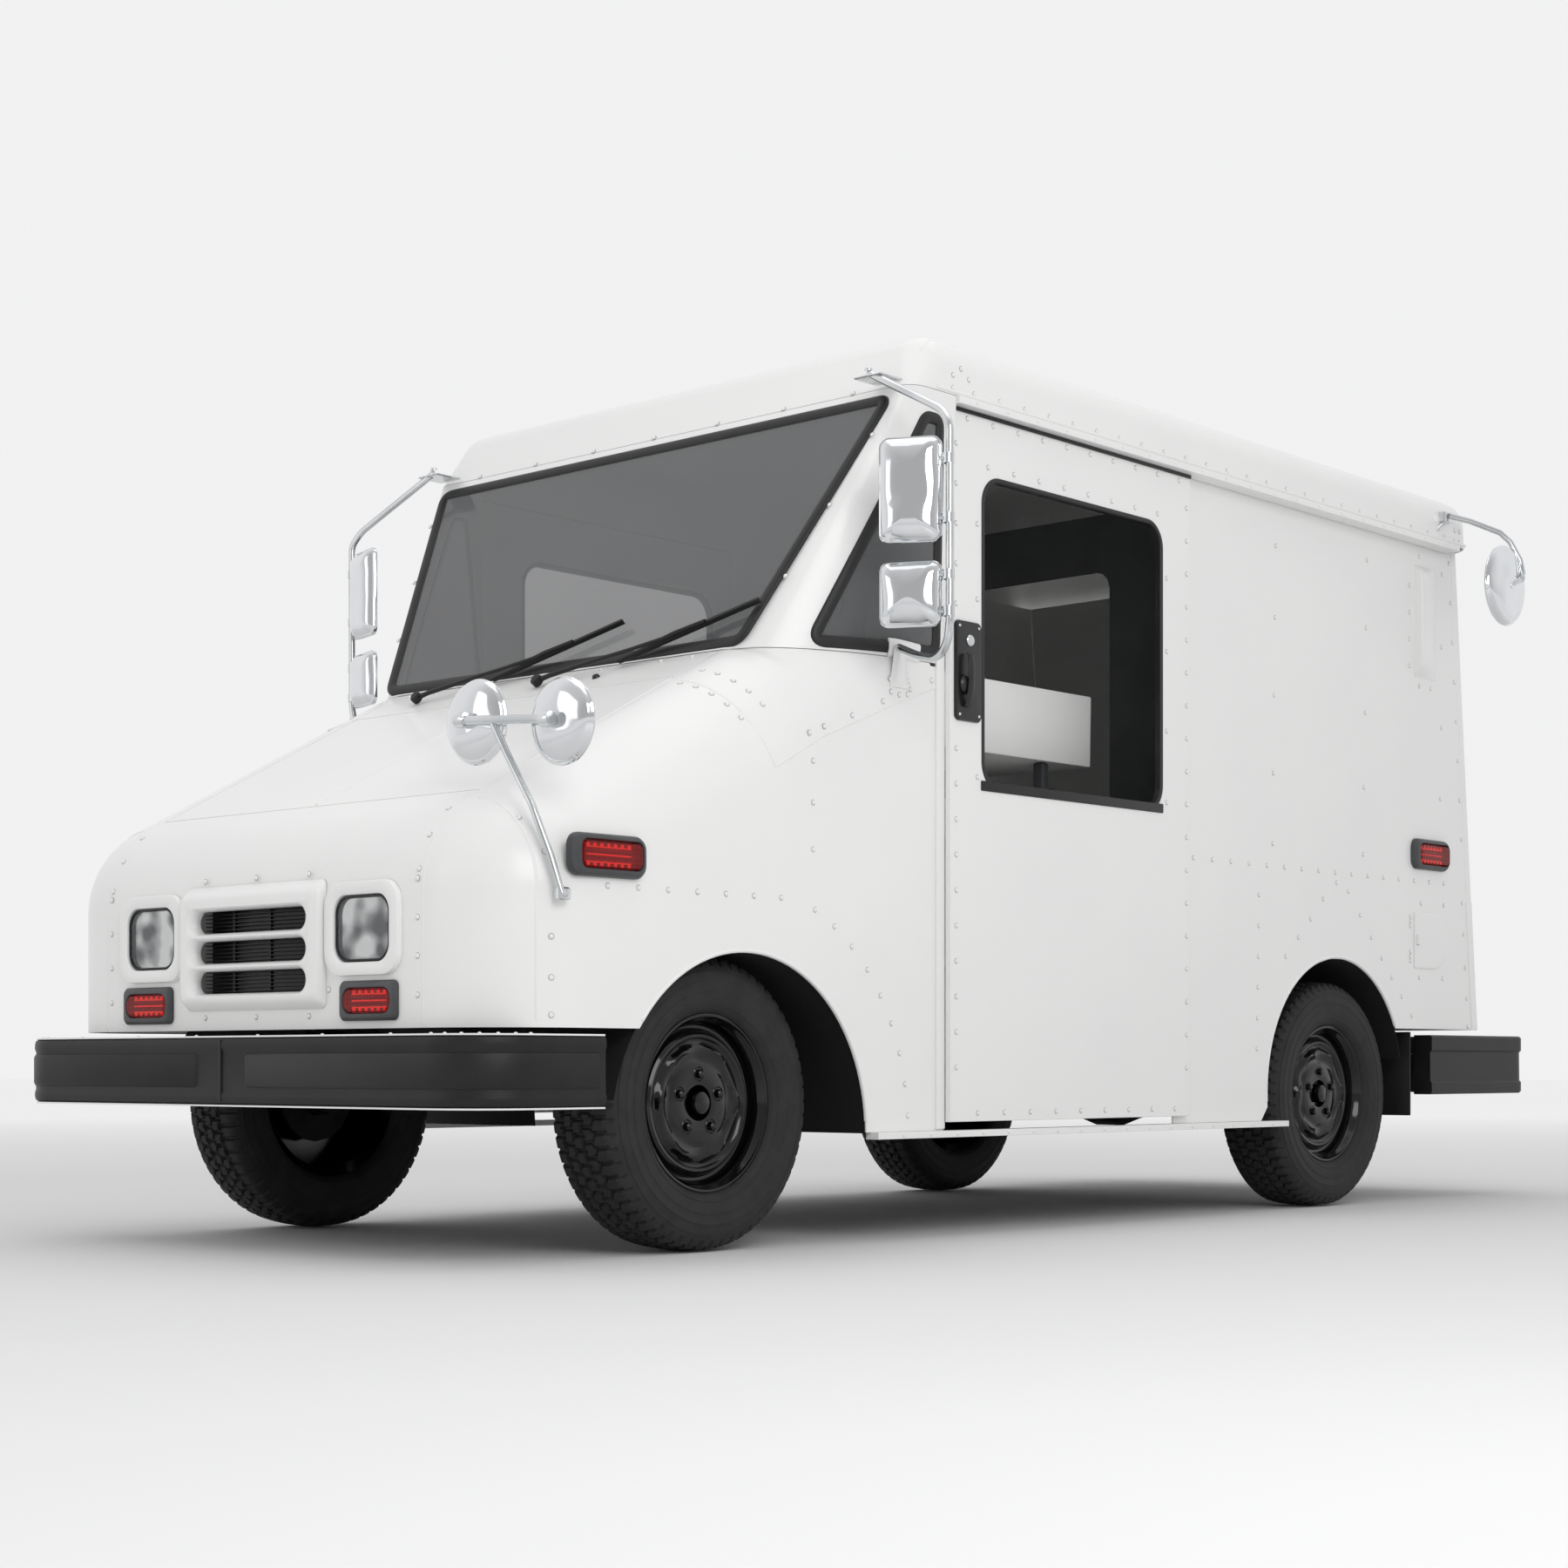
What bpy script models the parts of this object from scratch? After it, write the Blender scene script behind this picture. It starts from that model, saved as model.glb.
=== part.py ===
"""A light mail delivery truck: aluminium body on a ladder frame, sliding cab doors, hood, wheels, mirrors and wipers.

Metres, +Z up. The nose points to -Y and the truck's left side to +X. The origin is on the ground, under the middle
of the bounding box. Stations along the truck are written as distances behind the front axle and turned to Y by at().
"""

import math

import bmesh
import bpy
from mathutils import Matrix, Vector
from mathutils.geometry import tessellate_polygon

# ---- driving dimensions ------------------------------------------------------------------------------------------
WHEELBASE = 2.553
FRONT_OVERHANG = 0.757          # front axle to the face of the front bumper
LENGTH = 4.457
AXLE_Y = FRONT_OVERHANG - LENGTH / 2
GAP = 0.0004                    # clearance between pieces that touch
SKIN = 0.004                    # aluminium panels

HALF_WIDTH = 0.800              # body sides
NOSE_FACE = -0.662
NOSE_BOTTOM = 0.483
NOSE_RADIUS = 0.225
HOOD_RISE = 0.52                # slope of hood and cowl
HOOD_FRONT = (-0.506, 0.980)    # station and height of the seam at the front of the hood
HOOD_REAR = 0.065
GLASS_BASE = (0.212, 1.3532)
SEAM_X = 0.5625                 # side seams of nose panel and hood

ROOF_HALF = 0.840
ROOF_RADIUS = 0.085
HEADER_RADIUS = 0.045           # corners of the windshield header, seen from above
ROOF_OVERHANG = 0.045           # how far the roof reaches past the rear face
ROOF_TOP = 2.130
ROOF_EAVE = 1.9845
SCREEN_TOP = (0.551, 1.957)
REAR_BOTTOM = (3.385, 0.515)
REAR_LEAN = 0.0968              # forward lean of the rear face, metres per metre of height

POST = 0.733                    # front edge of the door opening
DOOR_LENGTH = 1.017
DOOR_Z = (0.272, 1.9635)
DOOR_X = (0.806, 0.820)
DOOR_TRAVEL = 0.94
WINDOW_S = (0.858, 1.619)
WINDOW_Z = (1.07, 1.818)
SILL_Z = (0.236, 0.252)
SILL_S = (0.469, 2.244)
FRONT_ARCH = (0.05, 0.25, 0.402)
REAR_ARCH = (2.545, 0.333, 0.380)

TYRE_RADIUS = 0.324
TYRE_WIDTH = 0.195
RIM_RADIUS = 0.1957
FRONT_WHEEL_X = 0.6525
REAR_WHEEL_X = 0.6825
WHEEL_SIDES = 24

MIRROR_TUBE = (1.050, 0.444)    # x and station of the side mirror tubes
MIRROR_WIDE = 0.143
TWIN_MIRRORS = ((0.556, 1.120), (0.815, 1.100))
TWIN_S = -0.502
REAR_MIRROR = (0.985, 3.188, 1.847)

SCREEN_UP = Vector((0, SCREEN_TOP[0] - GLASS_BASE[0], SCREEN_TOP[1] - GLASS_BASE[1])).normalized()
SCREEN_OUT = Vector((0, -SCREEN_UP.z, SCREEN_UP.y))
WIPER_BASES = ((-0.389, 0.120, 1.3225), (0.053, 0.120, 1.3225))

MATERIALS = {
    "white_body": ((0.80, 0.80, 0.79), 0.35, 0.0),
    "black_plastic": ((0.025, 0.025, 0.027), 0.55, 0.0),
    "black_steel": ((0.02, 0.02, 0.02), 0.25, 0.0),
    "tyre_rubber": ((0.03, 0.03, 0.03), 0.85, 0.0),
    "tinted_glass": ((0.12, 0.13, 0.13), 0.05, 0.0),
    "clear_lens": ((0.75, 0.77, 0.78), 0.10, 0.0),
    "red_lens": ((0.55, 0.02, 0.02), 0.15, 0.0),
    "polished_steel": ((0.80, 0.80, 0.80), 0.12, 1.0),
    "dark_iron": ((0.10, 0.10, 0.10), 0.60, 1.0),
    "grey_interior": ((0.45, 0.46, 0.46), 0.50, 0.0),
    "seat_vinyl": ((0.08, 0.08, 0.09), 0.60, 0.0),
}


def clear_scene():
    for obj in list(bpy.data.objects):
        bpy.data.objects.remove(obj, do_unlink=True)


def at(station):
    """Y of a station, which is a distance behind the front axle."""
    return AXLE_Y + station


def material(name):
    found = bpy.data.materials.get(name)
    if found:
        return found
    colour, roughness, metallic = MATERIALS[name]
    made = bpy.data.materials.new(name)
    made.use_nodes = True
    shader = made.node_tree.nodes["Principled BSDF"]
    shader.inputs["Base Color"].default_value = (*colour, 1)
    shader.inputs["Roughness"].default_value = roughness
    shader.inputs["Metallic"].default_value = metallic
    return made


def add(name, points, faces, finish, parent=None):
    """One object from points in truck coordinates. Its origin is its parent's place, or the world's."""
    mesh = bpy.data.meshes.new(name)
    base = parent.matrix_world.translation if parent else Vector()
    mesh.from_pydata([Vector(p) - base for p in points], [], faces)
    work = bmesh.new()
    work.from_mesh(mesh)
    bmesh.ops.remove_doubles(work, verts=work.verts, dist=1e-5)
    bmesh.ops.dissolve_degenerate(work, edges=work.edges, dist=1e-6)
    bmesh.ops.recalc_face_normals(work, faces=work.faces)
    work.to_mesh(mesh)
    work.free()
    mesh.shade_smooth()
    mesh.set_sharp_from_angle(angle=math.radians(35))
    obj = bpy.data.objects.new(name, mesh)
    obj.data.materials.append(material(finish))
    bpy.context.scene.collection.objects.link(obj)
    if parent:
        obj.parent = parent
    return obj


def pivot(name, place, parent=None):
    """An empty on a joint's axis, for the pieces that turn or slide with it."""
    empty = bpy.data.objects.new(name, None)
    bpy.context.scene.collection.objects.link(empty)
    if parent:
        empty.parent = parent
        place = Vector(place) - parent.matrix_world.translation
    empty.location = place
    bpy.context.view_layer.update()
    return empty


# ---- building blocks ---------------------------------------------------------------------------------------------
def loft(rings):
    """Points and faces of a closed solid through rings of equal length, capped at both ends."""
    count = len(rings[0])
    points = [p for ring in rings for p in ring]
    faces = [tuple(reversed(range(count)))]
    for r in range(len(rings) - 1):
        for i in range(count):
            j = (i + 1) % count
            faces.append((r * count + i, r * count + j, (r + 1) * count + j, (r + 1) * count + i))
    faces.append(tuple(range((len(rings) - 1) * count, len(rings) * count)))
    return points, faces


def rounded(width, height, radius, steps=4):
    """Outline of a rounded rectangle about its middle."""
    outline = []
    for quarter, (sx, sy) in enumerate(((1, 1), (-1, 1), (-1, -1), (1, -1))):
        for i in range(steps + 1):
            a = math.pi / 2 * (quarter + i / steps)
            outline.append((
                sx * (width / 2 - radius) + radius * math.cos(a),
                sy * (height / 2 - radius) + radius * math.sin(a),
            ))
    return outline


def slab(loops, place, low, high):
    """A flat plate: loops[0] is the outline and the others are holes. place(u, v, w) gives the point at depth w."""
    flat = [[Vector((u, v, 0)) for u, v in loop] for loop in loops]
    triangles = tessellate_polygon(flat)
    corners = [corner for loop in loops for corner in loop]
    count = len(corners)
    points = [place(u, v, low) for u, v in corners] + [place(u, v, high) for u, v in corners]
    faces = [tuple(t) for t in triangles] + [tuple(i + count for i in reversed(t)) for t in triangles]
    start = 0
    for loop in loops:
        for i in range(len(loop)):
            a = start + i
            b = start + (i + 1) % len(loop)
            faces.append((a, b, b + count, a + count))
        start += len(loop)
    return points, faces


def shell(points, normals, faces, thickness=SKIN):
    """A sheet of even thickness: the given faces are its outer side, and its rim is closed."""
    keys = {}
    index = []
    outer = []
    inner = []
    for p, n in zip(points, normals):
        key = tuple(round(c, 5) for c in p)
        if key not in keys:
            keys[key] = len(outer)
            outer.append(Vector(p))
            inner.append(Vector(p) - Vector(n).normalized() * thickness)
        index.append(keys[key])
    kept = []
    for face in faces:
        face = [index[i] for i in face]
        face = [v for k, v in enumerate(face) if v != face[k - 1]]
        if len(set(face)) > 2:
            kept.append(face)
    edges = {}
    for face in kept:
        for k, v in enumerate(face):
            pair = (face[k - 1], v)
            edges[tuple(sorted(pair))] = None if tuple(sorted(pair)) in edges else pair
    count = len(outer)
    result = [tuple(f) for f in kept] + [tuple(i + count for i in reversed(f)) for f in kept]
    result += [(b, a, a + count, b + count) for a, b in (e for e in edges.values() if e)]
    return outer + inner, result


def turned(profile, centre, axis="X", steps=32):
    """A ring turned about an axis through centre. profile is a closed loop of (radius, distance along the axis)."""
    points = []
    for k in range(steps):
        a = 2 * math.pi * k / steps
        for radius, along in profile:
            c, s = radius * math.cos(a), radius * math.sin(a)
            offset = {"X": (along, c, s), "Y": (c, along, s), "Z": (c, s, along)}[axis]
            points.append(Vector(centre) + Vector(offset))
    n = len(profile)
    faces = []
    for k in range(steps):
        for i in range(n):
            a, b = k * n + i, k * n + (i + 1) % n
            c, d = (k + 1) % steps * n + (i + 1) % n, (k + 1) % steps * n + i
            faces.append((a, b, c, d))
    return points, faces


def tube(route, radius, sides=8, flatten=1.0):
    """A round bar along a route, mitred at its bends."""
    route = [Vector(p) for p in route]
    rings = []
    side = None
    for i, p in enumerate(route):
        ahead = (route[min(i + 1, len(route) - 1)] - route[max(i - 1, 0)]).normalized()
        if side is None:
            side = ahead.orthogonal().normalized()
        side = (side - ahead * side.dot(ahead)).normalized()
        up = ahead.cross(side)
        ring = []
        for k in range(sides):
            a = 2 * math.pi * k / sides
            ring.append(p + side * radius * math.cos(a) + up * radius * flatten * math.sin(a))
        rings.append(ring)
    return loft(rings)


def box(low, high):
    (x0, y0, z0), (x1, y1, z1) = low, high
    ring = ((x0, y0), (x1, y0), (x1, y1), (x0, y1))
    return loft([[(x, y, z) for x, y in ring] for z in (z0, z1)])


def boolean(obj, other, operation):
    modifier = obj.modifiers.new(operation.title(), "BOOLEAN")
    modifier.object = other
    modifier.operation = operation
    modifier.solver = "EXACT"
    other.hide_render = True
    other.display_type = "WIRE"


def cut(obj, name, shape):
    boolean(obj, add(name, *shape, "black_steel"), "DIFFERENCE")


def join(obj, name, shape):
    boolean(obj, add(name, *shape, "black_steel", obj.parent), "UNION")


def sided(side, x):
    return x if side == "left" else -x


def mirrored(side, shape):
    points, faces = shape
    if side == "left":
        return shape
    return [(-p[0], p[1], p[2]) for p in map(Vector, points)], faces


# ---- the rounded nose and roof, both built from a core line and a radius ---------------------------------------
HOOD_ANGLE = math.atan(HOOD_RISE)
HOOD_NORMAL = (-math.sin(HOOD_ANGLE), math.cos(HOOD_ANGLE))


def hood_height(station):
    return HOOD_FRONT[1] + HOOD_RISE * (station - HOOD_FRONT[0])


def core_height(station):
    return hood_height(station) - NOSE_RADIUS / math.cos(HOOD_ANGLE)


NOSE_CORE = (NOSE_FACE + NOSE_RADIUS, core_height(NOSE_FACE + NOSE_RADIUS))
CORE_X = HALF_WIDTH - NOSE_RADIUS


def nose_arc(steps=6):
    """Directions from the front face's to the hood's, about the nose's core."""
    return [
        (-math.cos(a), math.sin(a))
        for a in (k / steps * (math.pi / 2 - HOOD_ANGLE) for k in range(steps + 1))
    ]


def nose_ring(core, normal, start=0.0, steps=6):
    """Points and normals from the top of the shoulder, at angle start, down to the body side."""
    ring = []
    for k in range(steps + 1):
        a = start + (math.pi / 2 - start) * k / steps
        n = Vector((math.sin(a), normal[0] * math.cos(a), normal[1] * math.cos(a)))
        ring.append((Vector((CORE_X, at(core[0]), core[1])) + NOSE_RADIUS * n, n))
    return ring


def grid_faces(rows, columns, first=0):
    faces = []
    for r in range(rows - 1):
        for c in range(columns - 1):
            a = first + r * columns + c
            faces.append((a, a + 1, a + columns + 1, a + columns))
    return faces


def arc_points(circle, start, end, steps):
    s0, z0, radius = circle
    return [
        (s0 + radius * math.cos(a), z0 + radius * math.sin(a))
        for a in (start + (end - start) * k / steps for k in range(steps + 1))
    ]


def panel_strip(profile, half, side_gap=0.0):
    """A panel across the truck, from x = -half to half, whose outer side follows (station, height, normal) points."""
    points, normals = [], []
    for station, height, normal in profile:
        for x in (-half + side_gap, half - side_gap):
            points.append((x, at(station), height))
            normals.append((0, *normal))
    return points, normals, grid_faces(len(profile), 2)


def nose_panel():
    face = (-1.0, 0.0)
    profile = [(NOSE_FACE, NOSE_BOTTOM, face)]
    for n in nose_arc():
        profile.append((NOSE_CORE[0] + NOSE_RADIUS * n[0], NOSE_CORE[1] + NOSE_RADIUS * n[1], n))
    profile.append((*HOOD_FRONT, HOOD_NORMAL))
    obj = add("front_panel", *shell(*panel_strip(profile, SEAM_X)), "white_body")
    deep = (NOSE_FACE - 0.02, NOSE_FACE + 0.02)
    for name, x, z, wide, high in (
        ("grille_hole", 0.0, 0.652, 0.40, 0.225),
        ("lamp_hole_left", 0.376, 0.692, 0.176, 0.130),
        ("lamp_hole_right", -0.376, 0.692, 0.176, 0.130),
    ):
        outline = rounded(wide, high, 0.03)
        rings = [[(x + u, at(s), z + v) for u, v in outline] for s in deep]
        cut(obj, name, loft(rings))
    return obj


def front_fender(side):
    """Corner, shoulder and side of the nose, down to the wheel arch and back to the door post."""
    rings = []
    flat_ring = nose_ring((NOSE_CORE[0], NOSE_BOTTOM), (-1.0, 0.0))
    rings.append([((SEAM_X + 0.001, at(NOSE_FACE), NOSE_BOTTOM), (0, -1, 0))] + flat_ring)
    for n in nose_arc():
        edge = (SEAM_X + 0.001, at(NOSE_CORE[0] + NOSE_RADIUS * n[0]), NOSE_CORE[1] + NOSE_RADIUS * n[1])
        rings.append([(edge, (0, *n))] + nose_ring(NOSE_CORE, n))
    full = GLASS_BASE[0] - NOSE_RADIUS * HOOD_NORMAL[0] - 0.004
    stations = [NOSE_CORE[0] + (full - NOSE_CORE[0]) * k / 3 for k in (1, 2, 3)]
    for station in stations:
        core = (station, core_height(station))
        edge = (SEAM_X + 0.001, at(station + NOSE_RADIUS * HOOD_NORMAL[0]), core[1] + NOSE_RADIUS * HOOD_NORMAL[1])
        rings.append([(edge, (0, *HOOD_NORMAL))] + nose_ring(core, HOOD_NORMAL))
    last = 0.685
    for k in range(1, 6):
        station = full + (last - full) * k / 5
        core = (station, core_height(station))
        lift = (GLASS_BASE[1] - 0.001 - core[1]) / (NOSE_RADIUS * HOOD_NORMAL[1])
        ring = nose_ring(core, HOOD_NORMAL, math.acos(max(min(lift, 1), 0)))
        rings.append([ring[0]] + ring)
    points = [p for ring in rings for p, _ in ring]
    normals = [n for ring in rings for _, n in ring]
    faces = grid_faces(len(rings), len(rings[0]))
    bottom = FRONT_ARCH[1]
    start = math.asin((SILL_Z[1] + GAP - bottom) / FRONT_ARCH[2])
    end = math.pi - math.asin((NOSE_BOTTOM - bottom) / FRONT_ARCH[2])
    outline = [(ring[-1][0][1] - AXLE_Y, ring[-1][0][2]) for ring in rings]
    outline += [(POST, rings[-1][-1][0][2]), (POST, SILL_Z[1] + GAP)]
    outline += arc_points(FRONT_ARCH, start, end, 14)
    first = len(points)
    points += [(HALF_WIDTH, at(s), z) for s, z in outline]
    normals += [(1, 0, 0)] * len(outline)
    flat = tessellate_polygon([[Vector((s, z, 0)) for s, z in outline]])
    faces += [tuple(first + i for i in t) for t in flat]
    return add(f"front_fender_{side}", *mirrored(side, shell(points, normals, faces)), "white_body")


def hood(parent):
    profile = [(s, hood_height(s), HOOD_NORMAL) for s in (HOOD_FRONT[0] + 0.004, HOOD_REAR)]
    shape = shell(*panel_strip(profile, SEAM_X - 0.003), thickness=0.010)
    return add("hood", *shape, "white_body", parent)


def cowl_panel():
    profile = [(s, hood_height(s), HOOD_NORMAL) for s in (HOOD_REAR + 0.003, GLASS_BASE[0] - 0.005)]
    return add("cowl_panel", *shell(*panel_strip(profile, SEAM_X)), "white_body")


def cab_outline(flat, across, back, station, steps=7):
    """Half of the cab's plan outline at one height: flat in front, a quarter ellipse, then the door post."""
    outline = [(0.0, station, (0.0, -1.0)), (flat, station, (0.0, -1.0))]
    for k in range(1, steps + 1):
        a = math.pi / 2 * k / steps
        x = flat + across * math.sin(a)
        s = station + back * (1 - math.cos(a))
        n = Vector((math.sin(a) / across, -math.cos(a) / back)).normalized()
        outline.append((x, s, tuple(n)))
    outline.append((flat + across, POST, (1.0, 0.0)))
    return outline


CAB_BASE_DEPTH = 0.488          # how far the lower corner of the cab sweeps back
EAVE_FRONT = SCREEN_TOP[0] + (ROOF_EAVE - SCREEN_TOP[1]) * SCREEN_UP.y / SCREEN_UP.z
HEADER_SWEEP = HEADER_RADIUS / SCREEN_UP.z
ROOF_SWEEP = ROOF_RADIUS / SCREEN_UP.z


def cab_rows():
    low = cab_outline(CORE_X, NOSE_RADIUS, CAB_BASE_DEPTH, GLASS_BASE[0])
    high = cab_outline(ROOF_HALF - HEADER_RADIUS, HEADER_RADIUS, HEADER_SWEEP, EAVE_FRONT)
    rows = []
    for (x0, s0, n0), (x1, s1, n1) in zip(low, high):
        tilt = SCREEN_UP.y
        rows.append((
            (x0, at(s0), GLASS_BASE[1] + 0.001), (x1, at(s1), ROOF_EAVE - 0.0015),
            (*n0, tilt * abs(n0[1])), (*n1, tilt * abs(n1[1])),
        ))
    return rows


def cab_shell():
    half = cab_rows()
    rows = [((-a[0], *a[1:]), (-b[0], *b[1:]), (-m[0], *m[1:]), (-n[0], *n[1:])) for a, b, m, n in half[:0:-1]]
    rows += half
    points = [p for row in rows for p in row[:2]]
    normals = [n for row in rows for n in row[2:]]
    obj = add("cab_shell", *shell(points, normals, grid_faces(len(rows), 2)), "white_body")
    screen = screen_outline(-0.004)
    cut(obj, "screen_hole", loft([[p + SCREEN_OUT * d for p in screen] for d in (-0.10, 0.10)]))
    for side in ("left", "right"):
        outline = quarter_outline(0.0)
        rings = [[(sided(side, x), at(s), z) for s, z in outline] for x in (0.55, 0.95)]
        cut(obj, f"quarter_hole_{side}", loft(rings))
    return obj


def screen_outline(inset):
    """Corner-rounded trapezium of the windshield, in its own plane, inset from the opening's edge."""
    foot, head = 0.035, 1.972
    corners = []
    for x, z in ((0.618, GLASS_BASE[1] + foot - 0.018), (0.783, head - 0.02)):
        s = GLASS_BASE[0] + (z - GLASS_BASE[1]) * SCREEN_UP.y / SCREEN_UP.z
        corners.append(Vector((x, at(s), z)))
    low, high = corners
    loop = [Vector((-low.x, low.y, low.z)), low, high, Vector((-high.x, high.y, high.z))]
    centre = sum(loop, Vector()) / 4
    rounded_loop = []
    radius = 0.03
    for i, corner in enumerate(loop):
        back = (loop[i - 1] - corner).normalized()
        ahead = (loop[(i + 1) % 4] - corner).normalized()
        for t in (0.0, 0.5, 1.0):
            p = corner + back * radius * (1 - t) ** 2 + ahead * radius * t ** 2
            rounded_loop.append(p + (centre - p).normalized() * inset)
    return rounded_loop


def quarter_outline(inset):
    """Triangular side window in station and height, with rounded corners."""
    corners = [Vector((0.345, 1.374)), Vector((0.703, 1.380)), Vector((0.676, 1.915)), Vector((0.622, 1.915))]
    radii = (0.035, 0.03, 0.02, 0.02)
    centre = sum(corners, Vector((0, 0))) / 4
    loop = []
    for i, corner in enumerate(corners):
        back = (corners[i - 1] - corner).normalized()
        ahead = (corners[(i + 1) % 4] - corner).normalized()
        for t in (0.0, 0.33, 0.67, 1.0):
            p = corner + back * radii[i] * (1 - t) ** 2 + ahead * radii[i] * t ** 2
            p = p + (centre - p).normalized() * inset
            loop.append((p.x, p.y))
    return loop


def cab_side_x(station, height):
    """Half width of the cab's outer side at a station and height."""
    t = (height - GLASS_BASE[1]) / (ROOF_EAVE - GLASS_BASE[1])
    flat = CORE_X + t * (ROOF_HALF - HEADER_RADIUS - CORE_X)
    across = NOSE_RADIUS + t * (HEADER_RADIUS - NOSE_RADIUS)
    back = CAB_BASE_DEPTH + t * (HEADER_SWEEP - CAB_BASE_DEPTH)
    front = GLASS_BASE[0] + t * (EAVE_FRONT - GLASS_BASE[0])
    c = min(max(1 - (station - front) / back, 0.0), 1.0)
    return flat + across * math.sqrt(1 - c * c)


def quarter_glass(side):
    """Glass bent like the cab's side, a little smaller than its opening."""
    outer = quarter_outline(0.006)
    centre_s = sum(s for s, _ in outer) / len(outer)
    centre_z = sum(z for _, z in outer) / len(outer)
    rings = []
    for scale in (1.0, 0.66, 0.33):
        rings.append([(centre_s + (s - centre_s) * scale, centre_z + (z - centre_z) * scale) for s, z in outer])
    points, faces = [], []
    for ring in rings:
        points += [(cab_side_x(s, z) - 0.001, at(s), z) for s, z in ring]
    n = len(outer)
    for r in range(len(rings) - 1):
        faces += [(r * n + i, r * n + (i + 1) % n, (r + 1) * n + (i + 1) % n, (r + 1) * n + i) for i in range(n)]
    points.append((cab_side_x(centre_s, centre_z) - 0.001, at(centre_s), centre_z))
    faces += [((len(rings) - 1) * n + i, (len(rings) - 1) * n + (i + 1) % n, len(points) - 1) for i in range(n)]
    shape = shell(points, [(1, -0.3, 0)] * len(points), faces, 0.0025)
    return add(f"quarter_glass_{side}", *mirrored(side, shape), "tinted_glass")


def windshield_glass():
    ring = screen_outline(0.006)
    rings = [[p + SCREEN_OUT * d for p in ring] for d in (-0.004, 0.0)]
    return add("windshield_glass", *loft(rings), "tinted_glass")


def roof_shell():
    """Roof with rounded edges, the windshield header in front and the eaves at the sides."""
    core_z = ROOF_TOP - ROOF_RADIUS
    front_n = (-SCREEN_UP.z, SCREEN_UP.y)
    rear_a = math.atan(REAR_LEAN)
    rear_n = (math.cos(rear_a), math.sin(rear_a))
    rear_s = rear_station(core_z) + ROOF_OVERHANG - ROOF_RADIUS / rear_n[0]
    front_s = SCREEN_TOP[0] + (core_z - SCREEN_TOP[1]) * SCREEN_UP.y / SCREEN_UP.z + ROOF_SWEEP
    stations = [((EAVE_FRONT + HEADER_SWEEP, ROOF_EAVE), front_n, (-HEADER_SWEEP, 0.0), HEADER_RADIUS)]
    for start, end, core in ((front_n, (0, 1), front_s), ((0, 1), rear_n, rear_s)):
        a0, a1 = math.atan2(start[1], start[0]), math.atan2(end[1], end[0])
        for k in range(6):
            a = a0 + (a1 - a0) * k / 5
            n = (math.cos(a), math.sin(a))
            stations.append(((core, core_z), n, (ROOF_RADIUS * n[0], ROOF_RADIUS * n[1]), ROOF_RADIUS))
    sweep = ROOF_RADIUS / rear_n[0]
    eave_rear = rear_station(ROOF_EAVE) + ROOF_OVERHANG
    stations.append(((eave_rear - sweep, ROOF_EAVE), rear_n, (sweep, 0.0), ROOF_RADIUS))
    steps = 5
    points, normals = [], []
    for (s, z), n, (ds, dz), corner in stations:
        half = []
        for k in range(steps + 1):
            a = math.pi / 2 * k / steps
            c = math.cos(a)
            half.append((
                (ROOF_HALF - corner + corner * math.sin(a), at(s + ds * c), z + dz * c),
                (math.sin(a), n[0] * c, n[1] * c),
            ))
        for p, m in reversed(half):
            points.append((-p[0], p[1], p[2]))
            normals.append((-m[0], m[1], m[2]))
        for p, m in half:
            points.append(p)
            normals.append(m)
    columns = 2 * (steps + 1)
    faces = grid_faces(len(stations), columns)
    for c in (0, columns - 1):
        rim = [points[r * columns + c] for r in range(len(stations))]
        corners = [rim[0], rim[1], rim[-2], rim[-1]]
        first = len(points)
        points += corners
        normals += [(1 if c else -1, 0, 0)] * 4
        faces.append((first, first + 1, first + 2, first + 3) if c else (first + 3, first + 2, first + 1, first))
    return add("roof_shell", *shell(points, normals, faces), "white_body")


# ---- sides, rear and floor -----------------------------------------------------------------------------------------
def rear_station(height):
    return REAR_BOTTOM[0] - REAR_LEAN * (height - REAR_BOTTOM[1])


REAR_POST = 0.030
SIDE_FRONT = 1.700


def cargo_side(side):
    start = math.pi - math.asin((0.290 - REAR_ARCH[1]) / REAR_ARCH[2])
    end = math.asin((REAR_BOTTOM[1] - REAR_ARCH[1]) / REAR_ARCH[2])
    top = ROOF_EAVE - GAP
    outline = [(SIDE_FRONT, SILL_Z[1] + GAP), (2.135, SILL_Z[1] + GAP)]
    outline += arc_points(REAR_ARCH, start, end, 14)
    outline += [(rear_station(z) - REAR_POST - 0.001, z) for z in (REAR_BOTTOM[1], top)]
    outline.append((SIDE_FRONT, top))
    x = sided(side, HALF_WIDTH)
    inner = sided(side, HALF_WIDTH - SKIN)
    shape = slab([outline], lambda s, z, w: (w, at(s), z), inner, x)
    return add(f"cargo_side_{side}", *shape, "white_body")


def rear_frame():
    top = ROOF_EAVE - GAP
    outline = [(-HALF_WIDTH, REAR_BOTTOM[1]), (HALF_WIDTH, REAR_BOTTOM[1]), (HALF_WIDTH, top), (-HALF_WIDTH, top)]
    opening = [(u, v + 1.225) for u, v in rounded(1.36, 1.29, 0.05, 3)]
    shape = slab([outline, opening], lambda x, z, w: (x, at(rear_station(z) + w), z), -REAR_POST, 0.0)
    return add("rear_frame", *shape, "white_body")


def rear_door():
    outline = [(u, v + 1.225) for u, v in rounded(1.40, 1.33, 0.02, 2)]
    low = -REAR_POST - 0.019
    shape = slab([outline], lambda x, z, w: (x, at(rear_station(z) + w), z), low, low + 0.018)
    return add("rear_door", *shape, "white_body")


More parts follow.
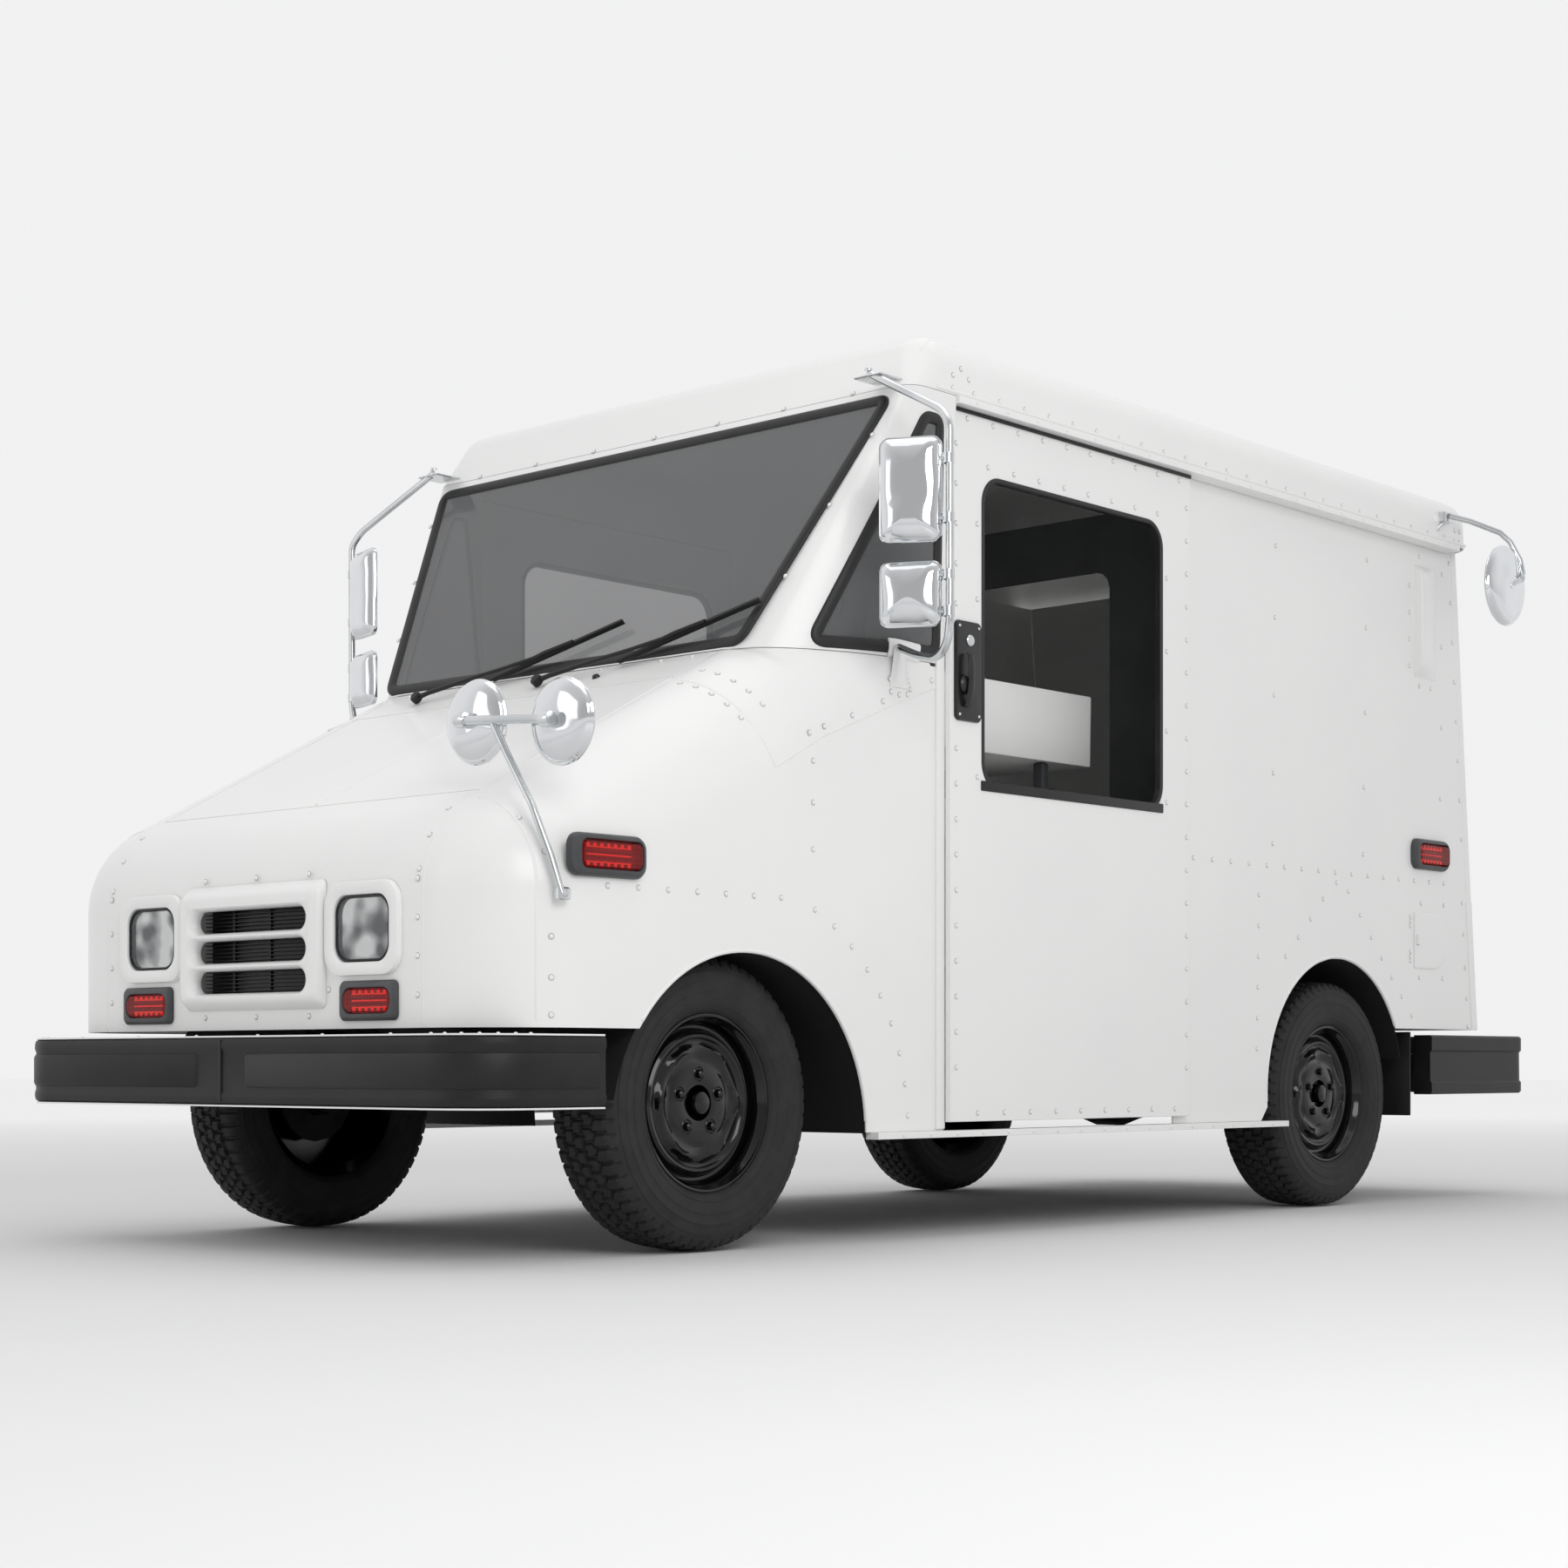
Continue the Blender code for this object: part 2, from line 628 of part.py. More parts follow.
def door(side, parent):
    s0, s1 = POST, POST + DOOR_LENGTH
    z0, z1 = DOOR_Z
    outline = [(s0, z0), (s1, z0), (s1, z1), (s0, z1)]
    wide, high = WINDOW_S[1] - WINDOW_S[0], WINDOW_Z[1] - WINDOW_Z[0]
    mid_s, mid_z = sum(WINDOW_S) / 2, sum(WINDOW_Z) / 2
    opening = [(mid_s + u, mid_z + v) for u, v in rounded(wide, high, 0.065, 4)]
    inner, outer = (sided(side, x) for x in DOOR_X)
    shape = slab([outline, opening], lambda s, z, w: (w, at(s), z), inner, outer)
    return add(f"door_{side}", *shape, "white_body", parent)


def door_handle(side, parent):
    """Grip bar on a round spindle, standing on the door's lock plate."""
    x, s, z = DOOR_X[1], 0.783, 1.310
    spindle = turned([(0.004, 0.0), (0.022, 0.0), (0.022, 0.020), (0.004, 0.020)], (x + 0.0085, at(s), z), steps=16)
    obj = add(f"door_handle_{side}", *mirrored(side, spindle), "black_plastic", parent)
    grip = box((x + 0.018, at(s) - 0.012, z - 0.055), (x + 0.034, at(s) + 0.012, z + 0.075))
    join(obj, f"grip_{side}", mirrored(side, grip))
    return obj


def door_rail(side):
    shape = box((0.8015, at(POST + 0.001), 1.9665), (0.850, at(3.180), ROOF_EAVE - GAP))
    return add(f"door_rail_{side}", *mirrored(side, shape), "white_body")


def side_sill(side):
    shape = box((0.784, at(SILL_S[0]), SILL_Z[0]), (0.822, at(SILL_S[1]), SILL_Z[1]))
    return add(f"side_sill_{side}", *mirrored(side, shape), "polished_steel")


FLOOR_Z = (0.440, 0.455)
FRAME_Z = (0.365, FLOOR_Z[0] - GAP)
RAIL_X = (0.250, 0.305)


def floor_pan():
    """Cab and cargo floor in one plate, narrow between the rear wheels."""
    wide, narrow, front = 0.790, 0.520, 0.690
    half = [(front, 0.470), (front, 1.700), (wide, 1.705), (wide, 2.110), (narrow, 2.120),
            (narrow, 2.980), (0.715, 2.990), (0.715, 3.300)]
    outline = [(x, s) for x, s in half] + [(-x, s) for x, s in reversed(half)]
    shape = slab([outline], lambda x, s, w: (x, at(s), w), *FLOOR_Z)
    return add("floor_pan", *shape, "grey_interior")


def chassis_frame():
    inner, outer = RAIL_X
    front, rear = -0.60, 3.43
    outline = [(-outer, front), (outer, front), (outer, rear), (-outer, rear)]
    bays = ((-0.54, 0.42), (0.48, 1.34), (1.40, 2.20), (2.26, 2.84), (2.90, 3.37))
    holes = [[(-inner, a), (inner, a), (inner, b), (-inner, b)] for a, b in bays]
    shape = slab([outline, *holes], lambda x, s, w: (x, at(s), w), *FRAME_Z)
    return add("chassis_frame", *shape, "black_steel")


def bumper(name, half, front, rear, radius, z0, z1, depth, face, deck=None):
    """A U seen from above, open towards the truck. face is -1 at the front and +1 at the rear.

    With deck, the U is filled from its face to that station, as a step to stand on.
    """
    def corner(x_mid, s_mid, r, a0, a1):
        return [(x_mid + r * math.cos(a0 + (a1 - a0) * k / 6), s_mid + r * math.sin(a0 + (a1 - a0) * k / 6))
                for k in range(7)]
    s_mid = front - face * radius
    right_angle = face * math.pi / 2
    outer = [(half, rear), *corner(half - radius, s_mid, radius, 0, right_angle)]
    outer += [(-x, s) for x, s in reversed(outer)]
    inside = radius - depth
    inner = [(half - depth, rear), *corner(half - radius, s_mid, inside, 0, right_angle)]
    if deck:
        inner = [(half - depth, rear), (half - depth, deck)]
    inner += [(-x, s) for x, s in reversed(inner)]
    outline = outer + inner[::-1]
    shape = slab([outline], lambda x, s, w: (x, at(s), w), z0, z1)
    return add(name, *shape, "black_plastic")


def lamp(name, x, z, wide, high, radius, proud, behind, finish, bucket=None):
    """A lamp against the nose panel, with an optional bucket behind it in the panel's hole."""
    face = NOSE_FACE - GAP
    rings = []
    outline = rounded(wide, high, radius)
    for s, scale in ((face - proud, 0.94), (face - proud * 0.5, 1.0), (face, 1.0)):
        rings.append([(x + u * scale, at(s), z + v * scale) for u, v in outline])
    if bucket:
        small = rounded(*bucket)
        rings += [[(x + u, at(s), z + v) for u, v in small] for s in (face, face + behind)]
    return add(name, *loft(rings), finish)


def grille():
    wide, high, z = 0.460, 0.265, 0.6525
    outline = [(u, v + z) for u, v in rounded(wide, high, 0.02)]
    slots = [[(u, v + mid) for u, v in rounded(0.330, 0.044, 0.0218, 3)] for mid in (0.583, 0.651, 0.719)]
    shape = slab([outline, *slots], lambda x, v, w: (x, at(w), v), NOSE_FACE - 0.028, NOSE_FACE - GAP)
    return add("grille", *shape, "white_body")


def engine_block():
    lower = [(u, v) for u, v in rounded(0.36, 0.62, 0.05, 2)]
    levels = ((0.46, 0.7), (0.56, 1.0), (0.80, 1.0), (0.86, 0.8))
    rings = [[(u * k, at(0.02) + v * k, z) for u, v in lower] for z, k in levels]
    return add("engine_block", *loft(rings), "dark_iron")


def rear_axle():
    half = REAR_WHEEL_X - 0.075
    profile = [(0.010, -half), (0.035, -half), (0.035, -0.16), (0.075, -0.12), (0.100, -0.05), (0.100, 0.05),
               (0.075, 0.12), (0.035, 0.16), (0.035, half), (0.010, half)]
    return add("rear_axle", *turned(profile, (0, at(WHEELBASE), 0.322), steps=12), "dark_iron")


def bulkhead():
    """Partition behind the driver, with a wide way through to the load."""
    z0, z1 = FLOOR_Z[1] + GAP, 1.960
    outline = [(-0.785, z0), (0.785, z0), (0.785, z1), (-0.785, z1)]
    opening = [(u - 0.055, v + 1.25) for u, v in rounded(0.91, 1.10, 0.05, 3)]
    shape = slab([outline, opening], lambda x, z, w: (x, at(w), z), 1.980, 1.995)
    return add("bulkhead", *shape, "grey_interior")


def dash_tray():
    """Instrument shelf across the cab, reaching back as a mail tray on the left."""
    outline = [(-0.62, 0.50), (0.62, 0.50), (0.70, 0.74), (0.70, 1.46), (0.20, 1.46), (0.20, 0.86), (-0.68, 0.86),
               (-0.68, 0.74)]
    shape = slab([outline], lambda x, s, w: (x, at(s), w), 0.960, 1.055)
    return add("dash_tray", *shape, "white_body")


def driver_seat():
    """Cushion and back on a pedestal, all in one outline seen from the side."""
    outline = [(1.28, FLOOR_Z[1] + GAP), (1.58, FLOOR_Z[1] + GAP), (1.60, 0.78), (1.72, 0.82), (1.84, 1.46),
               (1.74, 1.48), (1.62, 0.93), (1.16, 0.93), (1.14, 0.83), (1.28, 0.79)]
    shape = slab([outline], lambda s, z, w: (w, at(s), z), -0.62, -0.18)
    return add("driver_seat", *shape, "seat_vinyl")


# ---- wheels and steering -------------------------------------------------------------------------------------------
def tyre(name, x, station, parent):
    half, r = TYRE_WIDTH / 2, TYRE_RADIUS
    side = [(RIM_RADIUS + GAP, half - 0.022), (0.230, half - 0.003), (0.275, half), (r - 0.007, half - 0.016),
            (r, half - 0.036)]
    profile = side + [(radius, -along) for radius, along in reversed(side)]
    return add(name, *turned(profile, (x, at(station), r), steps=WHEEL_SIDES), "tyre_rubber", parent)


def rim(name, x, station, parent, face):
    """Steel wheel: a dished disc joined to a drop-centre band. face is +1 where the outside points to +X."""
    half = TYRE_WIDTH / 2 - 0.022
    outer = [(RIM_RADIUS, half), (0.178, half - 0.040), (0.178, -half + 0.030), (RIM_RADIUS, -half)]
    inner = [(0.172, -half + 0.026), (0.172, half - 0.078), (0.128, half - 0.036), (0.100, half - 0.026),
             (0.034, half - 0.056)]
    front = [(0.034, half - 0.044), (0.098, half - 0.014), (0.132, half - 0.024), (0.160, half - 0.066),
             (RIM_RADIUS - 0.008, half)]
    profile = [(r, a * face) for r, a in outer + inner + front]
    return add(name, *turned(profile, (x, at(station), TYRE_RADIUS), steps=WHEEL_SIDES), "black_steel", parent)


def knuckle(side, parent):
    """Front upright with its hub and brake disc, which turns with the steering."""
    profile = [(0.008, 0.0), (0.110, 0.0), (0.110, -0.012), (0.045, -0.014), (0.040, -0.075), (0.008, -0.075)]
    centre = (FRONT_WHEEL_X - 0.005, at(0), TYRE_RADIUS)
    shape = mirrored(side, turned(profile, centre, steps=16))
    return add(f"knuckle_{side}", *shape, "dark_iron", parent)


COLUMN_TILT = math.radians(52)
STEERING_HUB = (-0.40, 0.985, 1.185)


def steering_axis():
    """Unit vector from the steering box up to the wheel."""
    return Vector((0, math.sin(COLUMN_TILT) * 0.78, math.cos(COLUMN_TILT))).normalized()


def steering_wheel(parent):
    hub = Vector((STEERING_HUB[0], at(STEERING_HUB[1]), STEERING_HUB[2]))
    turn = steering_axis().to_track_quat("Z", "X").to_matrix()
    tube_r, ring_r = 0.012, 0.190
    ring = [(ring_r + tube_r * math.cos(a), tube_r * math.sin(a)) for a in (2 * math.pi * k / 6 for k in range(6))]
    points, faces = turned(ring, (0, 0, 0), "Z", 20)
    obj = add("steering_wheel", [hub + turn @ p for p in points], faces, "black_plastic", parent)
    bar = [(0.030, -0.010), (0.030, 0.014), (0.004, 0.014), (0.004, -0.010)]
    points, faces = turned(bar, (0, 0, 0), "Z", 16)
    join(obj, "wheel_hub", ([hub + turn @ p for p in points], faces))
    for k in range(3):
        spin = Matrix.Rotation(math.radians(90 + 120 * k), 3, "Z")
        points, faces = box((0.020, -0.012, -0.006), (ring_r, 0.012, 0.006))
        join(obj, f"spoke_{k}", ([hub + turn @ spin @ Vector(p) for p in points], faces))
    return obj


# ---- mirrors, wipers and the fuel door -------------------------------------------------------------------------------
def mirror_bracket(side):
    """Bar from the roof corner out to the upright tube and back in to the fender."""
    x, s = MIRROR_TUBE
    route = [(0.768, 0.500, 2.004), (1.020, 0.453, 1.871), (x, s, 1.835), (x, s, 1.390), (1.042, 0.447, 1.352),
             (1.018, 0.456, 1.328), (0.985, 0.470, 1.320), (0.900, 0.511, 1.341), (0.814, 0.552, 1.372)]
    shape = tube([(a, at(b), c) for a, b, c in route], 0.0095)
    obj = add(f"mirror_bracket_{side}", *mirrored(side, shape), "polished_steel")
    plate = box((0.735, at(0.482), 1.992), (0.815, at(0.5655), 1.997))
    join(obj, f"bracket_plate_{side}", mirrored(side, plate))
    return obj


def mirror_head(side, name, mid, high, turn_deg, parent):
    """Rectangular mirror beside its tube. Its glass faces back and turn_deg inwards."""
    turn = math.radians(turn_deg)
    across = Vector((-math.cos(turn), -math.sin(turn), 0))
    ahead = Vector((math.sin(turn), -math.cos(turn), 0))
    hub = Vector((MIRROR_TUBE[0], at(MIRROR_TUBE[1]), mid))
    middle = hub + across * (0.018 + MIRROR_WIDE / 2)
    rings = []
    for depth, scale in ((-0.008, 1.0), (0.006, 1.0), (0.026, 0.80), (0.036, 0.45)):
        outline = rounded(MIRROR_WIDE * scale, high * scale, 0.022 * scale, 3)
        rings.append([middle + across * u + Vector((0, 0, v)) + ahead * depth for u, v in outline])
    return add(name, *mirrored(side, loft(rings)), "polished_steel", parent)


def dome(radius, depth, rim_depth=0.008):
    """Closed profile of a round mirror with a domed back, as radius and distance in front of the glass."""
    back = [(radius * math.cos(a), rim_depth + depth * math.sin(a)) for a in (math.pi / 2 * k / 3 for k in range(3))]
    return [(0.003, 0.0), (radius, 0.0), *back, (0.003, rim_depth + depth)]


def crossover_arm():
    """Stay from the nose's corner up to the bar that carries the twin mirrors."""
    bar_s = TWIN_S - 0.052
    foot = [(0.8135, -0.512, 0.752), (0.7860, -0.534, 0.860), (0.688, -0.545, 1.040), (0.655, bar_s, 1.104)]
    obj = add("crossover_arm", *tube([(a, at(b), c) for a, b, c in foot], 0.0085), "polished_steel")
    (x0, z0), (x1, z1) = TWIN_MIRRORS
    bar = tube([(x0 - 0.01, at(bar_s), z0), (x1 + 0.01, at(bar_s), z1)], 0.010)
    join(obj, "twin_bar", bar)
    return obj


def twin_mirror(name, place, parent):
    x, z = place
    profile = [(r, -a) for r, a in dome(0.090, 0.030)]
    return add(name, *turned(profile, (x, at(TWIN_S), z), "Y", 20), "polished_steel", parent)


def rear_mirror(parent):
    """Round mirror on a bent arm, clamped to the rear end of the roof's edge."""
    x, s, z = REAR_MIRROR
    obj = add("rear_mirror", *turned(dome(0.120, 0.026), (x, at(s), z), "X", 20), "polished_steel", parent)
    route = [(0.8600, 3.092, 2.060), (0.902, 3.142, 2.046), (0.965, 3.212, 2.013), (0.988, 3.232, 1.985),
             (1.018, 3.256, 1.890), (1.020, 3.238, 1.868), (x + 0.026, s, z)]
    join(obj, "rear_mirror_arm", tube([(a, at(b), c) for a, b, c in route], 0.009))
    return obj


def wiper(name, base, parent):
    """Arm and blade in one, lying low across the glass."""
    foot = Vector((base[0], at(base[1]), base[2]))
    reach = Vector((0.600, 0, 0)) + SCREEN_UP * 0.186
    drop = -SCREEN_OUT * 0.048
    route = [foot - reach * 0.012, foot + reach * 0.05, foot + reach * 0.42 + drop * 0.55, foot + reach * 0.70 + drop,
             foot + reach + drop]
    return add(name, *tube(route, 0.009), "black_plastic", parent)


def fuel_door(parent):
    outline = [(u + 3.085, v + 0.781) for u, v in rounded(0.196, 0.168, 0.045, 4)]
    shape = slab([outline], lambda s, z, w: (w, at(s), z), HALF_WIDTH + 0.0006, HALF_WIDTH + 0.0036)
    return add("fuel_door", *shape, "white_body", parent)


# ---- assembly --------------------------------------------------------------------------------------------------------
def build_body():
    nose_panel()
    cowl_panel()
    cab_shell()
    windshield_glass()
    roof_shell()
    rear_frame()
    rear_door()
    floor_pan()
    chassis_frame()
    for side in ("left", "right"):
        front_fender(side)
        quarter_glass(side)
        cargo_side(side)
        side_sill(side)
        door_rail(side)
        mirror_bracket(side)
    bumper("front_bumper", 0.835, -FRONT_OVERHANG, -0.405, 0.160, 0.317, 0.470, 0.055, -1)
    bumper("rear_bumper", 0.820, LENGTH - FRONT_OVERHANG, 3.060, 0.080, 0.318, 0.497, 0.060, 1, deck=3.440)
    grille()
    for side, x in (("left", 0.376), ("right", -0.376)):
        lamp(f"headlight_{side}", x, 0.692, 0.226, 0.190, 0.045, 0.014, 0.060, "clear_lens", (0.170, 0.124, 0.03))
        lamp(f"front_marker_{side}", x, 0.541, 0.180, 0.084, 0.022, 0.016, 0.0, "red_lens")
    engine_block()
    rear_axle()
    bulkhead()
    dash_tray()
    driver_seat()
    crossover_arm()


def build_moving():
    hood(pivot("hood_axis", (0, at(HOOD_FRONT[0] + 0.004), HOOD_FRONT[1])))
    for side in ("left", "right"):
        slide = pivot(f"door_{side}_slide", (sided(side, DOOR_X[1]), at(POST), DOOR_Z[0]))
        door(side, slide)
        spindle = pivot(f"handle_{side}_axis", (sided(side, DOOR_X[1]), at(0.783), 1.310), slide)
        door_handle(side, spindle)
        kingpin = pivot(f"kingpin_{side}", (sided(side, FRONT_WHEEL_X), at(0), TYRE_RADIUS))
        knuckle(side, kingpin)
        face = 1 if side == "left" else -1
        tyre(f"tyre_front_{side}", sided(side, FRONT_WHEEL_X), 0, kingpin)
        rim(f"rim_front_{side}", sided(side, FRONT_WHEEL_X), 0, kingpin, face)
        hub = pivot(f"rear_hub_{side}", (sided(side, REAR_WHEEL_X), at(WHEELBASE), TYRE_RADIUS))
        tyre(f"tyre_rear_{side}", sided(side, REAR_WHEEL_X), WHEELBASE, hub)
        rim(f"rim_rear_{side}", sided(side, REAR_WHEEL_X), WHEELBASE, hub, face)
        inward = 27 if side == "left" else 16
        for level, mid, high in (("upper", 1.690, 0.236), ("lower", 1.457, 0.146)):
            axis = pivot(f"mirror_axis_{level}_{side}", (sided(side, MIRROR_TUBE[0]), at(MIRROR_TUBE[1]), mid))
            mirror_head(side, f"mirror_{level}_{side}", mid, high, inward, axis)
    steering_wheel(pivot("column", (STEERING_HUB[0], at(STEERING_HUB[1]), STEERING_HUB[2])))
    for name, place in zip(("twin_mirror_inner", "twin_mirror_outer"), TWIN_MIRRORS):
        twin_mirror(name, place, pivot(f"{name}_axis", (place[0], at(TWIN_S), place[1])))
    rear_mirror(pivot("rear_mirror_axis", (0.860, at(3.092), 2.060)))
    for name, base in zip(("wiper_right", "wiper_left"), WIPER_BASES):
        wiper(name, base, pivot(f"{name}_axis", (base[0], at(base[1]), base[2])))
    fuel_door(pivot("fuel_door_axis", (HALF_WIDTH + 0.0036, at(3.183), 0.781)))


clear_scene()
build_body()
build_moving()
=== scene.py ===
# %% [markdown]
# # A mail delivery truck
# The design already fixes every part's place, so this lesson only adds what the eye looks for: finely rounded
# body panels, rivets, rubber seals, lamps with real insides, tyres with tread, and a material for each finish.
# The first cell loads the fixed frame. Everything later is placed in its metres: X to the truck's left, Y to the
# rear, Z up.

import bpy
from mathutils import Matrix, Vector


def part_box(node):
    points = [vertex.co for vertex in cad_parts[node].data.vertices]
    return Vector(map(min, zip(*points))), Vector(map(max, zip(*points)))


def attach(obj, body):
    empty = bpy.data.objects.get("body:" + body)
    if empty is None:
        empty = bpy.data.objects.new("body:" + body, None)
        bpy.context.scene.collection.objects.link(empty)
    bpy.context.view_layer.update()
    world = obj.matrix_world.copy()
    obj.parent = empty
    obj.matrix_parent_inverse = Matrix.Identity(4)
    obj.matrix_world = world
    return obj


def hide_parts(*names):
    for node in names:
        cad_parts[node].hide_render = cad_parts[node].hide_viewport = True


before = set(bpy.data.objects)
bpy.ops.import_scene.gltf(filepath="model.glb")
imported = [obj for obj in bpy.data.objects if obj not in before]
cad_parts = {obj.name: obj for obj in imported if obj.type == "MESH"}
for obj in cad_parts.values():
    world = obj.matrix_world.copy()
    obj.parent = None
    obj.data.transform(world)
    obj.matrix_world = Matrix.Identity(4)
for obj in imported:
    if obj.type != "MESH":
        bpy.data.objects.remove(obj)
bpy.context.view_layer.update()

# %% Tools of the language
import math

import bmesh
import bpy
from mathutils import Matrix, Vector
from mathutils.geometry import tessellate_polygon

SIDES = (("left", 1), ("right", -1))
FULL_TURN = 2 * math.pi

# %% [markdown]
# ## Measuring along the truck
# A truck builder gives lengthwise places as stations behind the front axle. The front tyre's box gives the axle,
# and all the stations below are turned into Y by one function.

# %% Stations
tyre_low, tyre_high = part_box("tyre_front_left")
AXLE_Y = (tyre_low.y + tyre_high.y) / 2
TYRE_RADIUS = (tyre_high.z - tyre_low.z) / 2
WHEEL_X = {"front": (tyre_low.x + tyre_high.x) / 2, "rear": sum(c.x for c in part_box("tyre_rear_left")) / 2}
REAR_AXLE = sum(c.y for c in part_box("tyre_rear_left")) / 2 - AXLE_Y
HALF_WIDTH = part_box("cargo_side_left")[1].x


def at(station):
    """Y of a station, which is a distance behind the front axle."""
    return AXLE_Y + station


print("front axle at y", round(AXLE_Y, 4), "wheelbase", round(REAR_AXLE, 3), "tyre radius", round(TYRE_RADIUS, 3))

# %% [markdown]
# ## Colours and nodes
# Colours are picked as sRGB hex values, the way a paint chart or a screen shows them. Blender's shaders work in
# linear light, so one function converts them. A second one adds a shader node with its settings and its links,
# and every material below is written with it.


def linear(code):
    """An sRGB hex colour as linear red, green, blue and alpha."""
    parts = [int(code[i:i + 2], 16) / 255 for i in (1, 3, 5)]
    return (*(c / 12.92 if c <= 0.04045 else ((c + 0.055) / 1.055) ** 2.4 for c in parts), 1.0)


def add_node(tree, kind, inputs=(), **settings):
    """Adds a node. inputs maps a socket's name or number to a value or to the socket that feeds it."""
    made = tree.nodes.new(kind)
    for key, value in settings.items():
        setattr(made, key, value)
    for socket, value in dict(inputs).items():
        if isinstance(value, bpy.types.NodeSocket):
            tree.links.new(value, made.inputs[socket])
        else:
            made.inputs[socket].default_value = value
    return made


def finish(name, slot, **constants):
    """A new material whose shader constants are given by socket name, with _ for a space."""
    made = bpy.data.materials.new(name)
    made.use_nodes = True
    shader = made.node_tree.nodes["Principled BSDF"]
    for key, value in constants.items():
        shader.inputs[key.replace("_", " ")].default_value = value
    place = add_node(made.node_tree, "ShaderNodeTexCoord").outputs["Object"]
    return made, made.node_tree, shader, place


# %% [markdown]
# ## Enamel on aluminium
# The body is riveted aluminium sheet, sprayed with white vehicle enamel. Spraying leaves a faint orange peel a few
# millimetres wide, and thin sheet between rivets is never quite flat, so its reflections bend slowly. Two noises
# give those two scales to the bump. A third one moves the roughness a little, as hand polishing does.

# %% White enamel
enamel, tree, shader, place = finish("white enamel on aluminium", "white_body", IOR=1.5, Coat_Weight=0.25,
                                     Coat_Roughness=0.12)
tone = add_node(tree, "ShaderNodeTexNoise", {"Vector": place, "Scale": 1 / 0.35, "Detail": 3.0})
colour = add_node(tree, "ShaderNodeMix", {"Factor": tone.outputs["Fac"], "A": linear("#EDEDEC"),
                                          "B": linear("#F4F4F2")}, data_type="RGBA")
tree.links.new(colour.outputs["Result"], shader.inputs["Base Color"])
rough = add_node(tree, "ShaderNodeMapRange", {"Value": tone.outputs["Fac"], "To Min": 0.30, "To Max": 0.40})
tree.links.new(rough.outputs["Result"], shader.inputs["Roughness"])
peel = add_node(tree, "ShaderNodeTexNoise", {"Vector": place, "Scale": 1 / 0.006, "Detail": 1.0})
waves = add_node(tree, "ShaderNodeTexNoise", {"Vector": place, "Scale": 1 / 0.28, "Detail": 0.0})
slow = add_node(tree, "ShaderNodeBump", {"Height": waves.outputs["Fac"], "Strength": 0.12, "Distance": 0.012})
fine = add_node(tree, "ShaderNodeBump", {"Height": peel.outputs["Fac"], "Strength": 0.04, "Distance": 0.0006,
                                         "Normal": slow.outputs["Normal"]})
tree.links.new(fine.outputs["Normal"], shader.inputs["Normal"])
print("enamel: peel 6 mm, sheet waves 280 mm")

# %% [markdown]
# ## Two-tone noise for the plainer finishes
# Most other finishes are one colour that drifts a little, and a grain of one size. Each is listed with its two
# colours, its roughness range, and its grain in metres. Grain finer than about 2 mm would vanish at this distance,
# so it is drawn at 2 to 4 mm.
#
# - Moulded polypropylene, for bumpers, wipers and the rear step: dark grey, leathery grain.
# - Stove enamel on pressed steel, for the wheels: black and glossy.
# - Tyre rubber: matt black. Seal rubber: smoother and darker.
# - Cast iron and forgings: rough, sandy grain. Primer on inner panels: satin grey, its darkness partly painted shade.
# - Vinyl on the seat: black with a leather-like grain.
# - Zinc-plated steel, glossy black ABS for the radiator and handles, and lamp-surround thermoplastic.


# %% Finishes with grain
def grained(name, slot, dark, light, rough_range, grain, depth, drift=0.15, **constants):
    """A material whose colour drifts between two values and whose surface has grain of the given size."""
    made, tree, shader, place = finish(name, slot, **constants)
    drift_noise = add_node(tree, "ShaderNodeTexNoise", {"Vector": place, "Scale": 1 / drift, "Detail": 4.0})
    ramp = add_node(tree, "ShaderNodeValToRGB", {"Fac": drift_noise.outputs["Fac"]})
    ramp.color_ramp.elements[0].position, ramp.color_ramp.elements[1].position = 0.40, 0.60
    ramp.color_ramp.elements[0].color, ramp.color_ramp.elements[1].color = linear(dark), linear(light)
    tree.links.new(ramp.outputs["Color"], shader.inputs["Base Color"])
    spread = add_node(tree, "ShaderNodeMapRange", {"Value": drift_noise.outputs["Fac"], "To Min": rough_range[0],
                                                   "To Max": rough_range[1]})
    tree.links.new(spread.outputs["Result"], shader.inputs["Roughness"])
    grains = add_node(tree, "ShaderNodeTexNoise", {"Vector": place, "Scale": 1 / grain, "Detail": 2.0})
    bump = add_node(tree, "ShaderNodeBump", {"Height": grains.outputs["Fac"], "Strength": 0.5, "Distance": depth})
    tree.links.new(bump.outputs["Normal"], shader.inputs["Normal"])
    return made


polypropylene = grained("moulded polypropylene", "black_plastic", "#151516", "#1C1C1D", (0.40, 0.52), 0.003, 0.0007,
                         Specular_IOR_Level=0.35)
gloss_plastic = grained("moulded ABS", "black_plastic", "#141415", "#1D1D1F", (0.25, 0.35), 0.003, 0.0002)
wheel_enamel = grained("stove enamel on steel", "black_steel", "#030303", "#060606", (0.08, 0.14), 0.004, 0.0001,
                       Specular_IOR_Level=0.5)
tyre_rubber = grained("tyre rubber", "tyre_rubber", "#19191A", "#232324", (0.62, 0.78), 0.002, 0.0006, drift=0.05)
seal_rubber = grained("seal rubber", "black_plastic", "#161617", "#1E1E20", (0.45, 0.55), 0.002, 0.0002)
surround_plastic = grained("grey thermoplastic", "black_plastic", "#3E3F41", "#4A4B4D", (0.38, 0.48), 0.003, 0.0004)
cast_iron = grained("cast iron", "dark_iron", "#1F1F20", "#2E2D2C", (0.55, 0.75), 0.004, 0.0012, Metallic=0.6)
# the primer's dark grey is partly painted shade for the inside of the cab and the load hold
primer_and_painted_shade = grained("satin undercoat darkened as painted shade", "grey_interior", "#2E3032", "#383A3C", (0.45, 0.58), 0.004, 0.0002)
